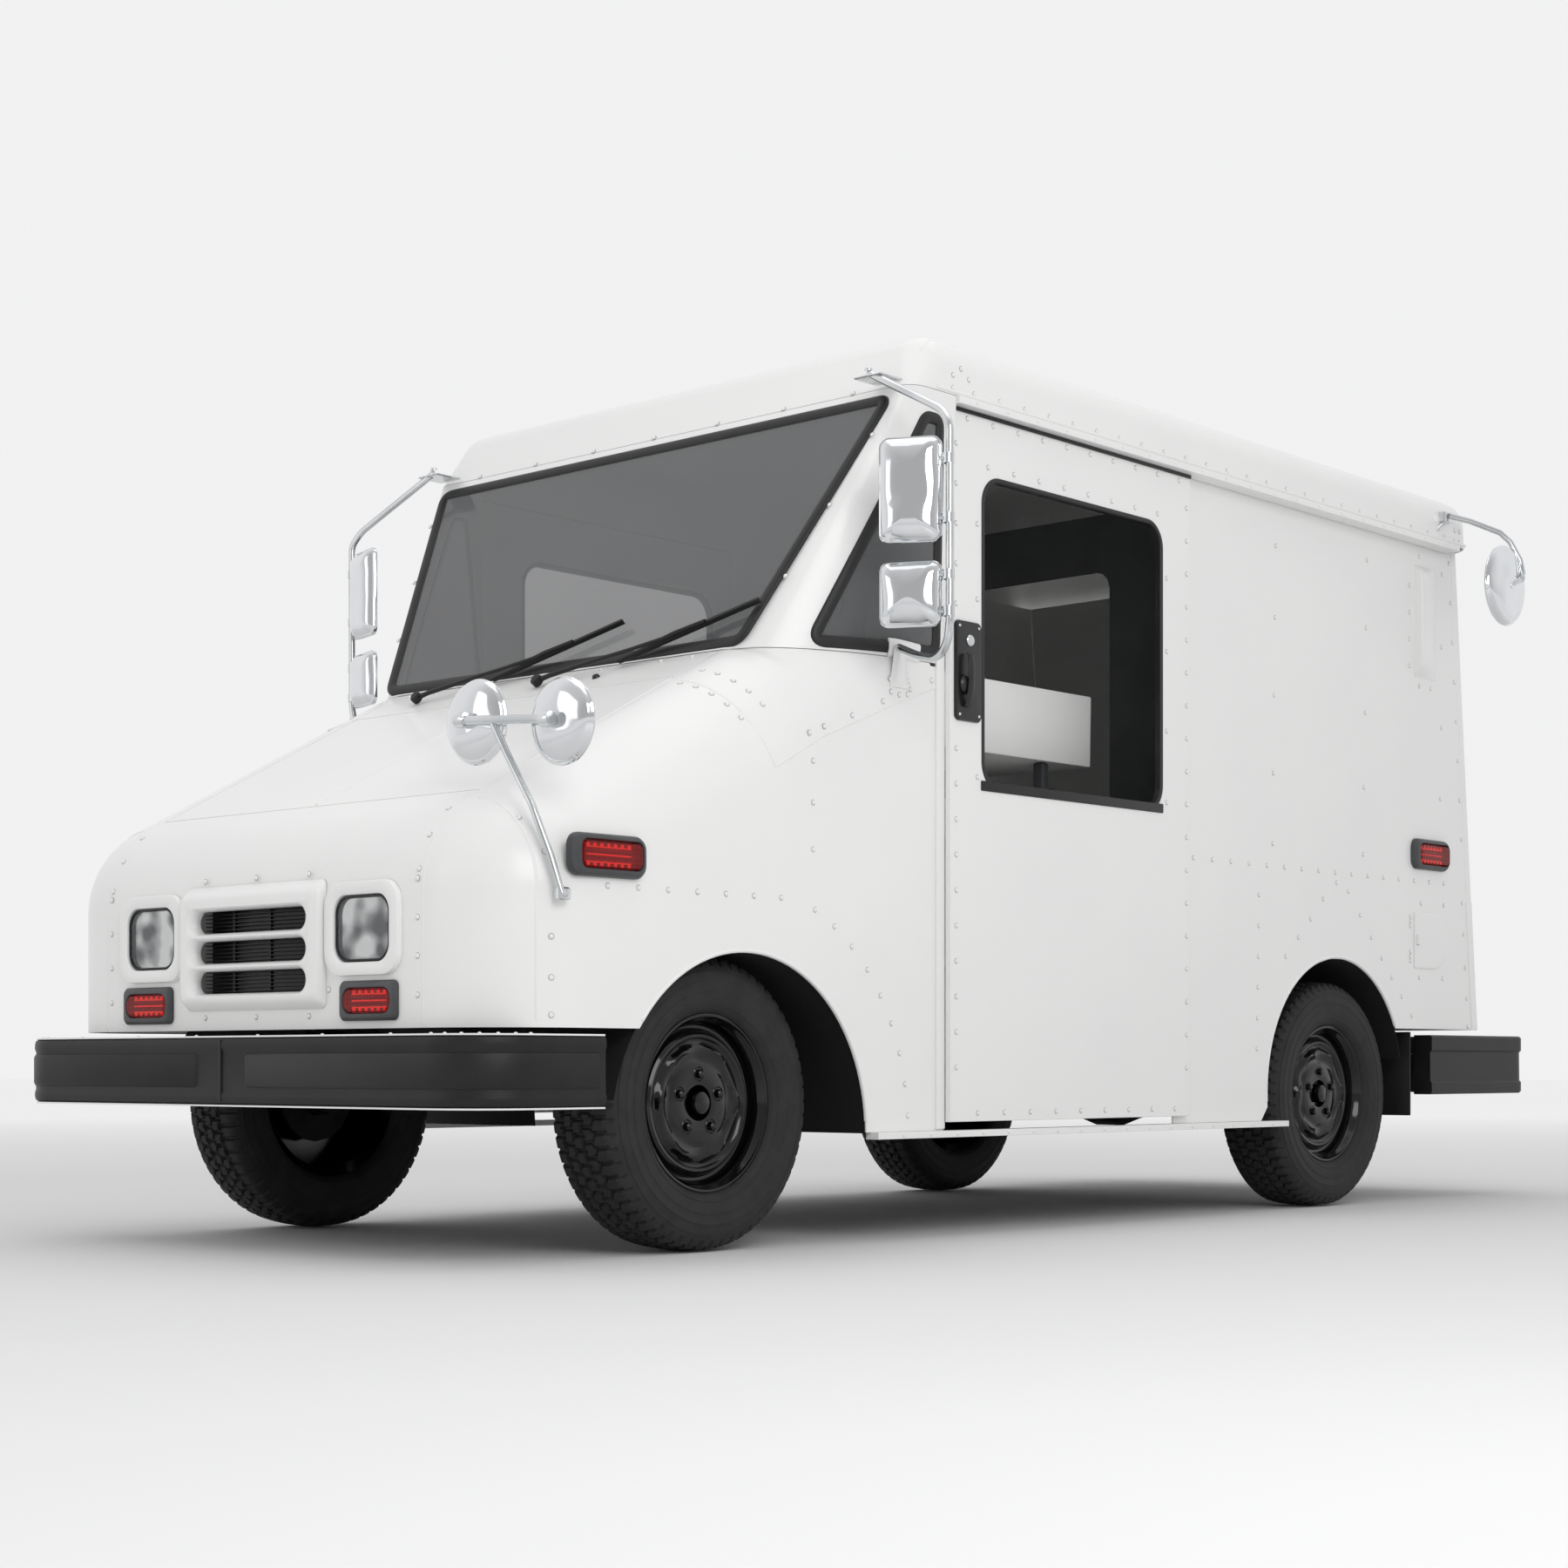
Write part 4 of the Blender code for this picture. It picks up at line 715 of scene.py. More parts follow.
for side, sign in SIDES:
    straight = on_side([(0.30, 1.146), (0.563, 1.248), (0.728, 1.307)], 1)
    strip(f"shoulder_seam_{side}", mirrored(shoulder(CORNER_SEAM_CORE, lift=0.0002) + straight, sign))
    ahead, beside = 0.471, 0.882
    corner = [Vector((beside, -ahead, 0))] * 3 + [Vector((beside * math.cos(a), -ahead, beside * math.sin(a)))
                                                  for a in (math.radians(7 * k) for k in range(1, 13))]
    heights = [0.497, 0.60, 0.70] + [NOSE_CORE[1]] * 12
    cap_seam = [(Vector((CORE_X, at(NOSE_CORE[0]), z)) + (NOSE_RADIUS + 0.0002) * n, n)
                for n, z in zip(corner, heights)]
    strip(f"corner_cap_seam_{side}", mirrored(cap_seam, sign))
    post = [(0.712, z) for z in (1.335, 1.26, 1.17, 1.08, 0.99, 0.90, 0.81, 0.72, 0.63, 0.54, 0.45, 0.36, 0.29)]
    above = [(0.256, 1.149), (0.306, 1.168), (0.403, 1.202), (0.511, 1.245), (0.61, 1.283), (0.69, 1.312)]
    arch = arc_points((*FRONT_ARCH[:2], 0.552), math.radians(4), math.radians(66), 8)
    row = run((-0.37, 0.776), (0.162, 0.776), 7)
    rivets(f"fender_rivets_{side}", on_side(row + [(0.268, z) for z in (1.087, 0.994, 0.889)] + post
                                            + above + [p for p in arch if p[0] < 0.70], sign))
    behind = [(Vector((0.938, -0.347, 0)), z) for z in (0.508, 0.584, 0.667)]
    behind += [(Vector((0.868, -0.36, 0.342)), NOSE_CORE[1]), (Vector((0.611, -0.44, 0.658)), NOSE_CORE[1])]
    rivets(f"corner_rivets_{side}", mirrored([(Vector((CORE_X, at(NOSE_CORE[0]), z)) + NOSE_RADIUS * n, n)
                                               for n, z in behind], sign))
    crown = [mirrored([shoulder(s, steps=8)[k]], sign)[0] for s in (0.13, 0.20) for k in (1, 2, 3, 4, 5)]
    rivets(f"shoulder_rivets_{side}", crown)
    edge = [((0.545, at(NOSE_FACE), z), (0, -1, 0)) for z in (0.788, 0.709, 0.630, 0.550)]
    edge += [((0.545, at(NOSE_CORE[0] + NOSE_RADIUS * n[0]), NOSE_CORE[1] + NOSE_RADIUS * n[1]), (0, *n))
             for n in nose_arc()[3::5]]
    rivets(f"front_rivets_{side}", mirrored(edge, sign))
    line = [((SEAM_X, at(NOSE_FACE), z), (0, -1, 0)) for z in (0.49, 0.65)]
    line += [((SEAM_X, at(NOSE_CORE[0] + NOSE_RADIUS * n[0]), NOSE_CORE[1] + NOSE_RADIUS * n[1]), (0, *n))
             for n in nose_arc()]
    line += [((SEAM_X, at(s), hood_height(s)), (0, *HOOD_NORMAL)) for s in (HOOD_FRONT[0], -0.2, 0.05)]
    strip(f"hood_seam_{side}", mirrored(line, sign), section=bead(0.004, 0.001))
hood_line = [((0, at(s), hood_height(s)), (0, *HOOD_NORMAL)) for s in (-0.495, -0.2, 0.055)]
strip("hood_centre_bead", hood_line, body="hood", section=bead(0.010, 0.0025))

# %% [markdown]
# ## Grille
# The grille is one white pressing, 28 mm proud, with sloping edges. Three long slots flare into soft lobes. Behind
# it the radiator shows as a stack of thin black fins. The fins get their own piece so that the slots look deep.

# %% Grille and radiator
SLOTS = (0.5885, 0.6550, 0.7215)
GRILLE_TOP, GRILLE_LOW, GRILLE_HALF = 0.801, 0.526, 0.248


def grille_ring(proud, side_in, top_in, low_in, radius=0.016):
    """Outline of the pressing at a height above the panel, drawn in from its base by three insets."""
    low, high = GRILLE_LOW + low_in, GRILLE_TOP - top_in
    return [(u, at(NOSE_FACE - proud), v + (low + high) / 2)
            for u, v in rounded(2 * (GRILLE_HALF - side_in), high - low, radius, 8)]


steps = ((0.0004, 0.0, 0.0, 0.0), (0.004, 0.0, 0.001, 0.001), (0.021, 0.003, 0.019, 0.016),
         (0.0255, 0.006, 0.024, 0.021), (0.0280, 0.012, 0.031, 0.028))
grille = piece("grille_pressing", loft([grille_ring(*step) for step in steps]), enamel, stands_for=["grille"])
cuts = []
for mid in SLOTS:
    slot = []
    for proud, wide, high in ((-0.02, 0.396, 0.049), (0.008, 0.396, 0.049), (0.019, 0.404, 0.053),
                              (0.0245, 0.418, 0.058), (0.0283, 0.438, 0.0640), (0.040, 0.50, 0.0663)):
        slot.append([(u, at(NOSE_FACE - proud), v + mid) for u, v in rounded(wide, high, high / 2 - 0.0002, 9)])
    cuts.append(loft(slot))
carve(grille, cuts)
rivets("grille_rivets", [((x, at(NOSE_FACE), z), (0, -1, 0)) for x in (-0.181, 0.004, 0.189) for z in (0.511, 0.814)]
       + [((x, at(NOSE_FACE), z), (0, -1, 0)) for x in (-0.2565, 0.2565) for z in (0.566, 0.742)])
fins = [block((-0.212, at(-0.640), z), (0.212, at(-0.625), z + 0.0022), 0.0005)
        for z in (0.552 + 0.0085 * k for k in range(24))]
fins += [block((x - 0.006, at(-0.6245), 0.546), (x + 0.006, at(-0.6205), 0.762), 0.001) for x in (-0.13, 0.0, 0.13)]
fins.append(block((-0.216, at(-0.62), 0.546), (0.216, at(-0.60), 0.765), 0.004))
piece("radiator_fins", merge(*fins), gloss_plastic)
print(len(SLOTS), "slots,", len(fins) - 1, "fins")

# %% [markdown]
# ## Headlamps
# A headlamp is built the way it comes apart in the workshop: a painted bezel, a black rubber ring, a clear glass
# that bulges a little, a bright bowl, and a bulb behind a grey shield. The bowl is what gives a lamp its look,
# because it mirrors the floor in curved bands behind the glass, and its colour adds painted reflection streaks.

# %% Headlamps
for side, sign in SIDES:
    x, z = sign * LAMP[0], LAMP[1]

    def lamp_ring(wide, high, radius, proud):
        return [(x + u, at(NOSE_FACE - proud), z + v) for u, v in rounded(wide, high, radius, 8)]

    bezel = [lamp_ring(*step) for step in (
        (0.242, 0.198, 0.050, 0.0004), (0.242, 0.198, 0.050, 0.009), (0.239, 0.195, 0.049, 0.0125),
        (0.233, 0.189, 0.047, 0.014), (0.192, 0.150, 0.040, 0.0135), (0.182, 0.142, 0.038, 0.0110),
        (0.178, 0.138, 0.037, 0.0004))]
    piece(f"headlamp_bezel_{side}", loft(bezel, closed=True), enamel, stands_for=[f"headlight_{side}"])
    seat = [lamp_ring(*step) for step in (
        (0.177, 0.137, 0.037, 0.0020), (0.176, 0.136, 0.037, 0.0075), (0.170, 0.130, 0.036, 0.0085),
        (0.168, 0.128, 0.035, 0.0005))]
    piece(f"headlamp_gasket_{side}", loft(seat, closed=True), seal_rubber)
    glass = [lamp_ring(*step) for step in (
        (0.168, 0.128, 0.035, 0.001), (0.168, 0.128, 0.035, 0.004), (0.148, 0.110, 0.032, 0.0075),
        (0.090, 0.066, 0.026, 0.0105), (0.030, 0.022, 0.010, 0.0115))]
    piece(f"headlamp_glass_{side}", loft(glass), clear_glass)
    bowl = []
    for k in range(8):
        t = k / 7
        shrink = math.cos(t * 1.35)
        bowl.append(lamp_ring(0.166 * shrink, 0.127 * shrink, 0.034 + 0.02 * t * shrink, -0.055 * math.sin(t * 1.35)))
    back = [[Vector(p) + Vector((0, 0.003, 0)) for p in ring] for ring in reversed(bowl)]
    piece(f"headlamp_bowl_{side}", loft(bowl + back), reflector)
    shield = turned([(0.0, -0.001), (0.030, 0.001), (0.034, 0.006), (0.034, 0.028), (0.030, 0.030)],
                    (x - 0.012, at(NOSE_FACE + 0.010), z), "Y", 40, closed=False)
    piece(f"headlamp_shield_{side}", shield, surround_plastic)
    piece(f"headlamp_bulb_{side}", turned([(0.0, -0.034), (0.007, -0.033), (0.010, -0.026), (0.010, 0.0)],
                                          (x, at(NOSE_FACE + 0.050), z), "Y", 16, closed=False), zinc_steel)

# %% [markdown]
# ## Marker and signal lamps
# All the small lamps share one build: a grey plastic surround that slopes up to a raised rim, a red lens, and
# beside the lens on the front ones a smaller disc. One function makes them in any plane, given the directions that
# run across, up and out.


# %% Small lamps
def small_lamp(name, centre, across, up, out, wide, high, lens_at, lens_size, radius, proud, body="truck",
               stands_for=(), diodes=0, surround=None):
    """Surround and lens of a signal lamp."""
    centre, across, up, out = (Vector(v) for v in (centre, across, up, out))

    def ring(w, h, r, d, shift=(0.0, 0.0)):
        return [centre + across * (u + shift[0]) + up * (v + shift[1]) + out * d for u, v in rounded(w, h, r, 6)]

    lw, lh = lens_size
    lr = lh / 2 * (0.96 if wide < 0.2 else 0.6)
    body_rings = [ring(wide, high, radius, 0.0004), ring(wide, high, radius, proud * 0.45),
                  ring(wide - 0.008, high - 0.008, radius * 0.9, proud * 0.85),
                  ring(wide - 0.02, high - 0.018, radius * 0.8, proud),
                  ring(lw + 0.006, lh + 0.006, lr, proud, lens_at),
                  ring(lw + 0.002, lh + 0.002, lr, proud * 0.5, lens_at),
                  ring(lw + 0.002, lh + 0.002, lr, 0.0008, lens_at)]
    piece(f"{name}_surround", loft(body_rings, closed=True), surround or surround_plastic, body, stands_for)
    lens_rings = [ring(lw, lh, lr, proud * 0.2, lens_at), ring(lw, lh, lr, proud * 0.8, lens_at),
                  ring(lw - 0.006, lh - 0.006, lr - 0.003, proud * 1.12, lens_at),
                  ring(lw * 0.5, lh * 0.5, lr * 0.5, proud * 1.2, lens_at)]
    piece(f"{name}_lens", loft(lens_rings), red_acrylic, body)
    back_plate = [ring(lw + 0.001, lh + 0.001, lr, 0.0009, lens_at), ring(lw + 0.001, lh + 0.001, lr, 0.002, lens_at)]
    piece(f"{name}_back", loft(back_plate), dark_red, body)
    lit, side_length = [], lw - lh * 0.8
    for level in (-0.28, 0.0, 0.28):
        line = [centre + across * (lens_at[0] + u) + up * (lens_at[1] + level * lh) + out * 0.0035
                for u in (-side_length / 2, side_length / 2)]
        lit.append(tube(line, 0.0016, 8))
    for k in range(diodes):
        spot = centre + across * (lens_at[0] + (k - (diodes - 1) / 2) * side_length / (diodes - 0.5)) + out * 0.003
        lit += [dome_shape(spot + up * (lens_at[1] + level * lh), out, 0.0045, 0.003, 8) for level in (-0.36, 0.36)]
    piece(f"{name}_diodes", merge(*lit), diode_red, body)


for side, sign in SIDES:
    small_lamp(f"front_marker_{side}", (sign * 0.3935, at(NOSE_FACE), 0.541), (sign, 0, 0), (0, 0, 1), (0, -1, 0),
               0.185, 0.084, (0.0, 0.0), (0.150, 0.050), 0.014, 0.013, stands_for=[f"front_marker_{side}"], diodes=6)
    small_lamp(f"front_side_marker_{side}", (sign * HALF_WIDTH, at(-0.3785), 0.8365), (0, 1, 0), (0, 0, 1),
               (sign, 0, 0), 0.219, 0.089, (0.008, 0.002), (0.172, 0.056), 0.028, 0.018, diodes=7)
    small_lamp(f"rear_side_marker_{side}", (sign * HALF_WIDTH, at(3.075), 1.0405), (0, 1, 0), (0, 0, 1),
               (sign, 0, 0), 0.216, 0.091, (0.012, 0.0), (0.174, 0.060), 0.028, 0.018, diodes=7)

# %% [markdown]
# ## Cab and windshield
# The windshield is a flat pane, so it is drawn as a trapezium in its own tilted plane. The cab around it is a
# straight-line surface between two outlines, a wide bow at the cowl and a tight one at the roof. The openings are
# cut through the sheet, and a rubber moulding is swept round each edge, half on the sheet and half on the glass.

# %% Cab surface
ROOF_HALF, HEADER_RADIUS, ROOF_RADIUS, ROOF_TOP, ROOF_EAVE = 0.840, 0.045, 0.085, 2.130, 1.9845
SCREEN_UP = Vector((0, SCREEN_TOP[0] - GLASS_BASE[0], SCREEN_TOP[1] - GLASS_BASE[1])).normalized()
SCREEN_OUT = Vector((0, -SCREEN_UP.z, SCREEN_UP.y))
CAB_DEPTH = 0.488
EAVE_FRONT = SCREEN_TOP[0] + (ROOF_EAVE - SCREEN_TOP[1]) * SCREEN_UP.y / SCREEN_UP.z
HEADER_SWEEP, ROOF_SWEEP = HEADER_RADIUS / SCREEN_UP.z, ROOF_RADIUS / SCREEN_UP.z


def cab_outline(flat, across, back, station, steps=18):
    """Half plan outline at one height: flat in front, a quarter ellipse, then the door post."""
    outline = [(0.0, station, (0.0, -1.0)), (flat, station, (0.0, -1.0))]
    for k in range(1, steps + 1):
        a = math.pi / 2 * k / steps
        n = Vector((math.sin(a) / across, -math.cos(a) / back)).normalized()
        outline.append((flat + across * math.sin(a), station + back * (1 - math.cos(a)), tuple(n)))
    return outline + [(flat + across, POST, (1.0, 0.0))]


def cab_shape():
    low = cab_outline(CORE_X, NOSE_RADIUS, CAB_DEPTH, GLASS_BASE[0])
    high = cab_outline(ROOF_HALF - HEADER_RADIUS, HEADER_RADIUS, HEADER_SWEEP, EAVE_FRONT)
    half = [((x0, at(s0), GLASS_BASE[1] + 0.001), (x1, at(s1), ROOF_EAVE - 0.0015),
             (*n0, SCREEN_UP.y * abs(n0[1])), (*n1, SCREEN_UP.y * abs(n1[1])))
            for (x0, s0, n0), (x1, s1, n1) in zip(low, high)]
    rows = [tuple((-v[0], *v[1:]) for v in row) for row in half[:0:-1]] + half
    return shell([p for row in rows for p in row[:2]], [n for row in rows for n in row[2:]],
                 grid_faces(len(rows), 2))


def cab_side_x(station, height):
    """Half width of the cab's outer side at a station and height."""
    t = (height - GLASS_BASE[1]) / (ROOF_EAVE - GLASS_BASE[1])
    flat = CORE_X + t * (ROOF_HALF - HEADER_RADIUS - CORE_X)
    across = NOSE_RADIUS + t * (HEADER_RADIUS - NOSE_RADIUS)
    back = CAB_DEPTH + t * (HEADER_SWEEP - CAB_DEPTH)
    front = GLASS_BASE[0] + t * (EAVE_FRONT - GLASS_BASE[0])
    c = min(max(1 - (station - front) / back, 0.0), 1.0)
    return flat + across * math.sqrt(1 - c * c)


def cab_side(pairs, sign, lift=0.0):
    """Stations and heights as places on the cab's side, with its normal measured from the surface."""
    found = []
    for s, z in pairs:
        step = 0.004
        along = Vector((cab_side_x(s + step, z) - cab_side_x(s - step, z), 2 * step, 0))
        up = Vector((cab_side_x(s, z + step) - cab_side_x(s, z - step), 0, 2 * step))
        n = along.cross(up).normalized()
        n = n if n.x > 0 else -n
        found.append((Vector((cab_side_x(s, z), at(s), z)) + n * lift, n))
    return mirrored(found, sign)


def on_screen(x, z, lift=0.0):
    """A place in the windshield's plane."""
    s = GLASS_BASE[0] + (z - GLASS_BASE[1]) * SCREEN_UP.y / SCREEN_UP.z
    return Vector((x, at(s), z)) + SCREEN_OUT * lift


def screen_outline(inset, steps=6):
    corners = [on_screen(x, z) for x, z in ((-0.618, 1.3702), (0.618, 1.3702), (0.783, 1.952), (-0.783, 1.952))]
    centre = sum(corners, Vector()) / 4
    return [p + (centre - p).normalized() * inset for p in round_corners(corners, 0.03, steps=steps)]


def quarter_outline(inset, steps=6):
    corners = [Vector((0.345, 1.374)), Vector((0.703, 1.380)), Vector((0.676, 1.915)), Vector((0.622, 1.915))]
    centre = sum(corners, Vector((0, 0))) / 4
    loop = round_corners(corners, [0.035, 0.03, 0.02, 0.02], steps=steps)
    return [p + (centre - p).normalized() * inset for p in loop]


cab = piece("cab_panel", cab_shape(), enamel, stands_for=["cab_shell"])
holes = [loft([[p + SCREEN_OUT * d for p in screen_outline(-0.004)] for d in (-0.10, 0.10)])]
for side, sign in SIDES:
    holes.append(loft([[(x * sign, at(p[0]), p[1]) for p in quarter_outline(0.0)] for x in (0.55, 0.95)]))
carve(cab, holes)
MOULDING = bead(0.030, 0.0065, sink=0.003, steps=10)
ring = screen_outline(0.001, 10)
strip("windshield_seal", [(p, SCREEN_OUT) for p in ring], seal_rubber, section=MOULDING, closed=True)
for side, sign in SIDES:
    ring = cab_side(quarter_outline(-0.002, 8), sign)
    dense = []
    for (p, n), (q, m) in zip(ring, ring[1:] + ring[:1]):
        count = max(1, int((q - p).length / 0.04))
        dense += [(p.lerp(q, k / count), n.lerp(m, k / count)) for k in range(count)]
    curved = cab_side([(p.y - AXLE_Y, p.z) for p, _ in dense], sign)
    strip(f"quarter_seal_{side}", curved, seal_rubber, section=bead(0.028, 0.006, sink=0.003, steps=8),
          closed=True)
    rivets(f"pillar_rivets_{side}", [(on_screen(sign * x, z), SCREEN_OUT) for x, z in ((0.683, 1.52), (0.733, 1.69),
                                                                                       (0.780, 1.86))])
rivets("cowl_rivets", [((x, at(0.190), hood_height(0.190)), (0, *HOOD_NORMAL))
                       for x in (-0.5, -0.4, -0.2, 0.0, 0.2, 0.4, 0.5)])
print("openings cut in the cab:", len(holes))

# %% [markdown]
# ## Roof
# The roof is the same idea upside down: a core line and a radius, tight at the windshield header and 85 mm along
# the rest. Two seams cross it near the front corners, where the header pressing meets the side rolls, and a row of
# rivets holds its skirt to the rail above the sliding door.

# %% Roof surface
REAR_BOTTOM, REAR_LEAN, ROOF_OVERHANG = (3.385, 0.515), 0.0968, 0.045


def rear_station(height):
    return REAR_BOTTOM[0] - REAR_LEAN * (height - REAR_BOTTOM[1])


def roof_stations(steps=12):
    core_z = ROOF_TOP - ROOF_RADIUS
    front_n = (-SCREEN_UP.z, SCREEN_UP.y)
    rear_a = math.atan(REAR_LEAN)
    rear_n = (math.cos(rear_a), math.sin(rear_a))
    rear_s = rear_station(core_z) + ROOF_OVERHANG - ROOF_RADIUS / rear_n[0]
    front_s = SCREEN_TOP[0] + (core_z - SCREEN_TOP[1]) * SCREEN_UP.y / SCREEN_UP.z + ROOF_SWEEP
    stations = [((EAVE_FRONT + HEADER_SWEEP, ROOF_EAVE), front_n, (-HEADER_SWEEP, 0.0), HEADER_RADIUS)]
    for start, end, core in ((front_n, (0, 1), front_s), ((0, 1), rear_n, rear_s)):
        a0, a1 = math.atan2(start[1], start[0]), math.atan2(end[1], end[0])
        for a in (a0 + (a1 - a0) * k / steps for k in range(steps + 1)):
            n = (math.cos(a), math.sin(a))
            stations.append(((core, core_z), n, (ROOF_RADIUS * n[0], ROOF_RADIUS * n[1]), ROOF_RADIUS))
    sweep_back = ROOF_RADIUS / rear_n[0]
    eave_rear = rear_station(ROOF_EAVE) + ROOF_OVERHANG
    return stations + [((eave_rear - sweep_back, ROOF_EAVE), rear_n, (sweep_back, 0.0), ROOF_RADIUS)]


def roof_half(station, steps=12):
    (s, z), n, (ds, dz), corner = station
    half = []
    for a in (math.pi / 2 * k / steps for k in range(steps + 1)):
        c = math.cos(a)
        half.append(((ROOF_HALF - corner + corner * math.sin(a), at(s + ds * c), z + dz * c),
                     (math.sin(a), n[0] * c, n[1] * c)))
    return half


def roof_shape():
    rows = []
    for station in roof_stations():
        half = roof_half(station)
        rows.append([((-p[0], *p[1:]), (-n[0], *n[1:])) for p, n in reversed(half)] + half)
    points, normals = [p for row in rows for p, _ in row], [n for row in rows for _, n in row]
    columns = len(rows[0])
    faces = grid_faces(len(rows), columns)
    for c in (0, columns - 1):
        rim = [r * columns + c for r in range(len(rows))]
        corners = [points[i] for i in rim]
        base = len(points)
        points += corners
        normals += [(1 if c else -1, 0, 0)] * len(rim)
        loop = list(range(base, base + len(rim)))
        faces.append(tuple(loop if c else reversed(loop)))
    return shell(points, normals, faces)


piece("roof_panel", roof_shape(), enamel, stands_for=["roof_shell"])
for side, sign in SIDES:
    front_arc = [roof_half(st)[5] for st in roof_stations()[1:14]]
    strip(f"header_seam_{side}", mirrored(front_arc, sign), section=bead(0.005, 0.0013))
    skirt = [(0.80 + 0.1 * k, 2.000) for k in range(24)]
    corner_set = [(0.72, 2.00), (0.72, 2.03), (0.75, 2.05), (0.78, 2.03)]
    rear_set = [(s, z) for s in (3.165, 3.195) for z in (1.998, 2.03)]
    rivets(f"roof_rivets_{side}", on_side(skirt + corner_set + rear_set, sign, ROOF_HALF))
    gutter = on_side([(s, 1.992) for s in (0.66, 1.9, 3.23)], sign, ROOF_HALF)
    strip(f"roof_gutter_{side}", gutter, section=bead(0.010, 0.003))
header = [(on_screen(x, 1.988, 0.001), SCREEN_OUT) for x in (-0.66, -0.44, -0.22, 0.0, 0.22, 0.44, 0.66)]
rivets("header_rivets", header)

# %% [markdown]
# ## Body sides
# The load body is flat sheet on posts. Its rivet rows show where the posts are, so they follow the frame: a belt
# row, four columns, and an arc round the rear wheel. The cabin air leaves by a scoop pressed out of the sheet,
# which stands proud in front and dies away to the rear.

# %% Cargo sides
for side, sign in SIDES:
    belt = run((1.798, 0.959), (3.172, 0.959), 16)
    columns = [(2.202, 1.433), (2.198, 1.217), (2.194, 1.021), (2.206, 1.65), (2.21, 1.85)]
    columns += run((2.124, 0.875), (2.113, 0.451), 6)
    columns += [(2.705, 1.682), (2.699, 1.434), (2.693, 1.215), (2.688, 1.02), (2.71, 1.88)]
    columns += [(3.157, 1.678), (3.157, 1.433), (3.150, 1.216), (3.16, 1.90)]
    wheel_arc = [(2.604, 0.908), (2.671, 0.842), (2.736, 0.779), (2.796, 0.72), (2.855, 0.665), (2.914, 0.61),
                 (2.974, 0.553)]
    front_arc = [(2.538, 0.930), (2.464, 0.880), (2.396, 0.820), (2.33, 0.765), (2.262, 0.710)]
    cluster = [(2.965, z) for z in (0.851, 0.836, 0.822, 0.746, 0.732, 0.718)]
    cluster += [(3.03, 0.893), (3.171, 0.893), (3.019, 0.669), (3.163, 0.669)]
    scoop_set = [(2.961, z) for z in (1.60, 1.68, 1.76, 1.84)] + [(3.02, 1.545), (3.09, 1.545), (3.02, 1.935)]
    rivets(f"cargo_rivets_{side}", on_side(belt + columns + wheel_arc + front_arc
                                           + (cluster if sign > 0 else []) + scoop_set, sign))
    scoop = []
    for s, lift in ((2.984, 0.0), (2.987, 0.024), (2.992, 0.029), (3.000, 0.030), (3.060, 0.017), (3.105, 0.006),
                    (3.110, 0.004), (3.113, 0.0)):
        ridge = []
        for k in range(17):
            z = 1.573 + 0.334 * k / 16 if 0 < k < 16 else (1.573, 1.907)[k // 16]
            end = min(1.0, k * 0.75, (16 - k) * 0.75)
            ridge.append((sign * (HALF_WIDTH + 0.0005 + lift * end), at(s), z))
        scoop.append(ridge)
    points = [Vector(p) for ridge in scoop for p in ridge]
    piece(f"air_scoop_{side}", shell(points, [(sign, 0, 0)] * len(points), grid_faces(len(scoop), 17), 0.0015),
          enamel)
    vent = [(3.113, 1.573), (2.984, 1.573), (2.984, 1.907), (3.113, 1.907)]
    strip(f"scoop_flange_{side}", on_side(vent, sign), section=bead(0.012, 0.0018), closed=True)
    corner = on_side([(rear_station(z) - 0.020, z) for z in (0.516, 0.72, 0.908)], sign)
    strip(f"rear_corner_strip_{side}", corner, section=[(0.018, -0.001), (0.018, 0.0015), (0.016, 0.003),
                                                        (-0.016, 0.003), (-0.018, 0.0015), (-0.018, -0.001)])
    edge_rivets = [(rear_station(z) - 0.060, z) for z in (0.905, 0.809, 0.706, 0.612, 0.525)]
    upper_edge = [(rear_station(z) - 0.045, z) for z in (1.10, 1.22, 1.34, 1.46, 1.58, 1.70, 1.82, 1.94)]
    rivets(f"rear_edge_rivets_{side}", on_side(edge_rivets + upper_edge, sign))
    rivets(f"sill_rivets_{side}", on_side([(0.56 + 0.1 * k, 0.244) for k in range(17)], sign, 0.8222),
           radius=SMALL_RIVET)
    rivets(f"rail_rivets_{side}", on_side([(0.80 + 0.12 * k, 1.9755) for k in range(20)], sign, 0.850),
           radius=SMALL_RIVET)
    for label, circle, first, last, steps in (("front", FRONT_ARCH, 4, 142, 40), ("rear", REAR_ARCH, 30, 184, 44)):
        lip = arc_points((*circle[:2], circle[2] + 0.004), math.radians(first), math.radians(last), steps)
        strip(f"{label}_arch_lip_{side}", on_side(lip, sign, HALF_WIDTH - 0.001), section=bead(0.010, 0.004, 0.004))

# %% [markdown]
# ## Fuel door
# A D-shaped flap with its round side to the rear, 3 mm of plate with a finger tab. It rides on its own body.

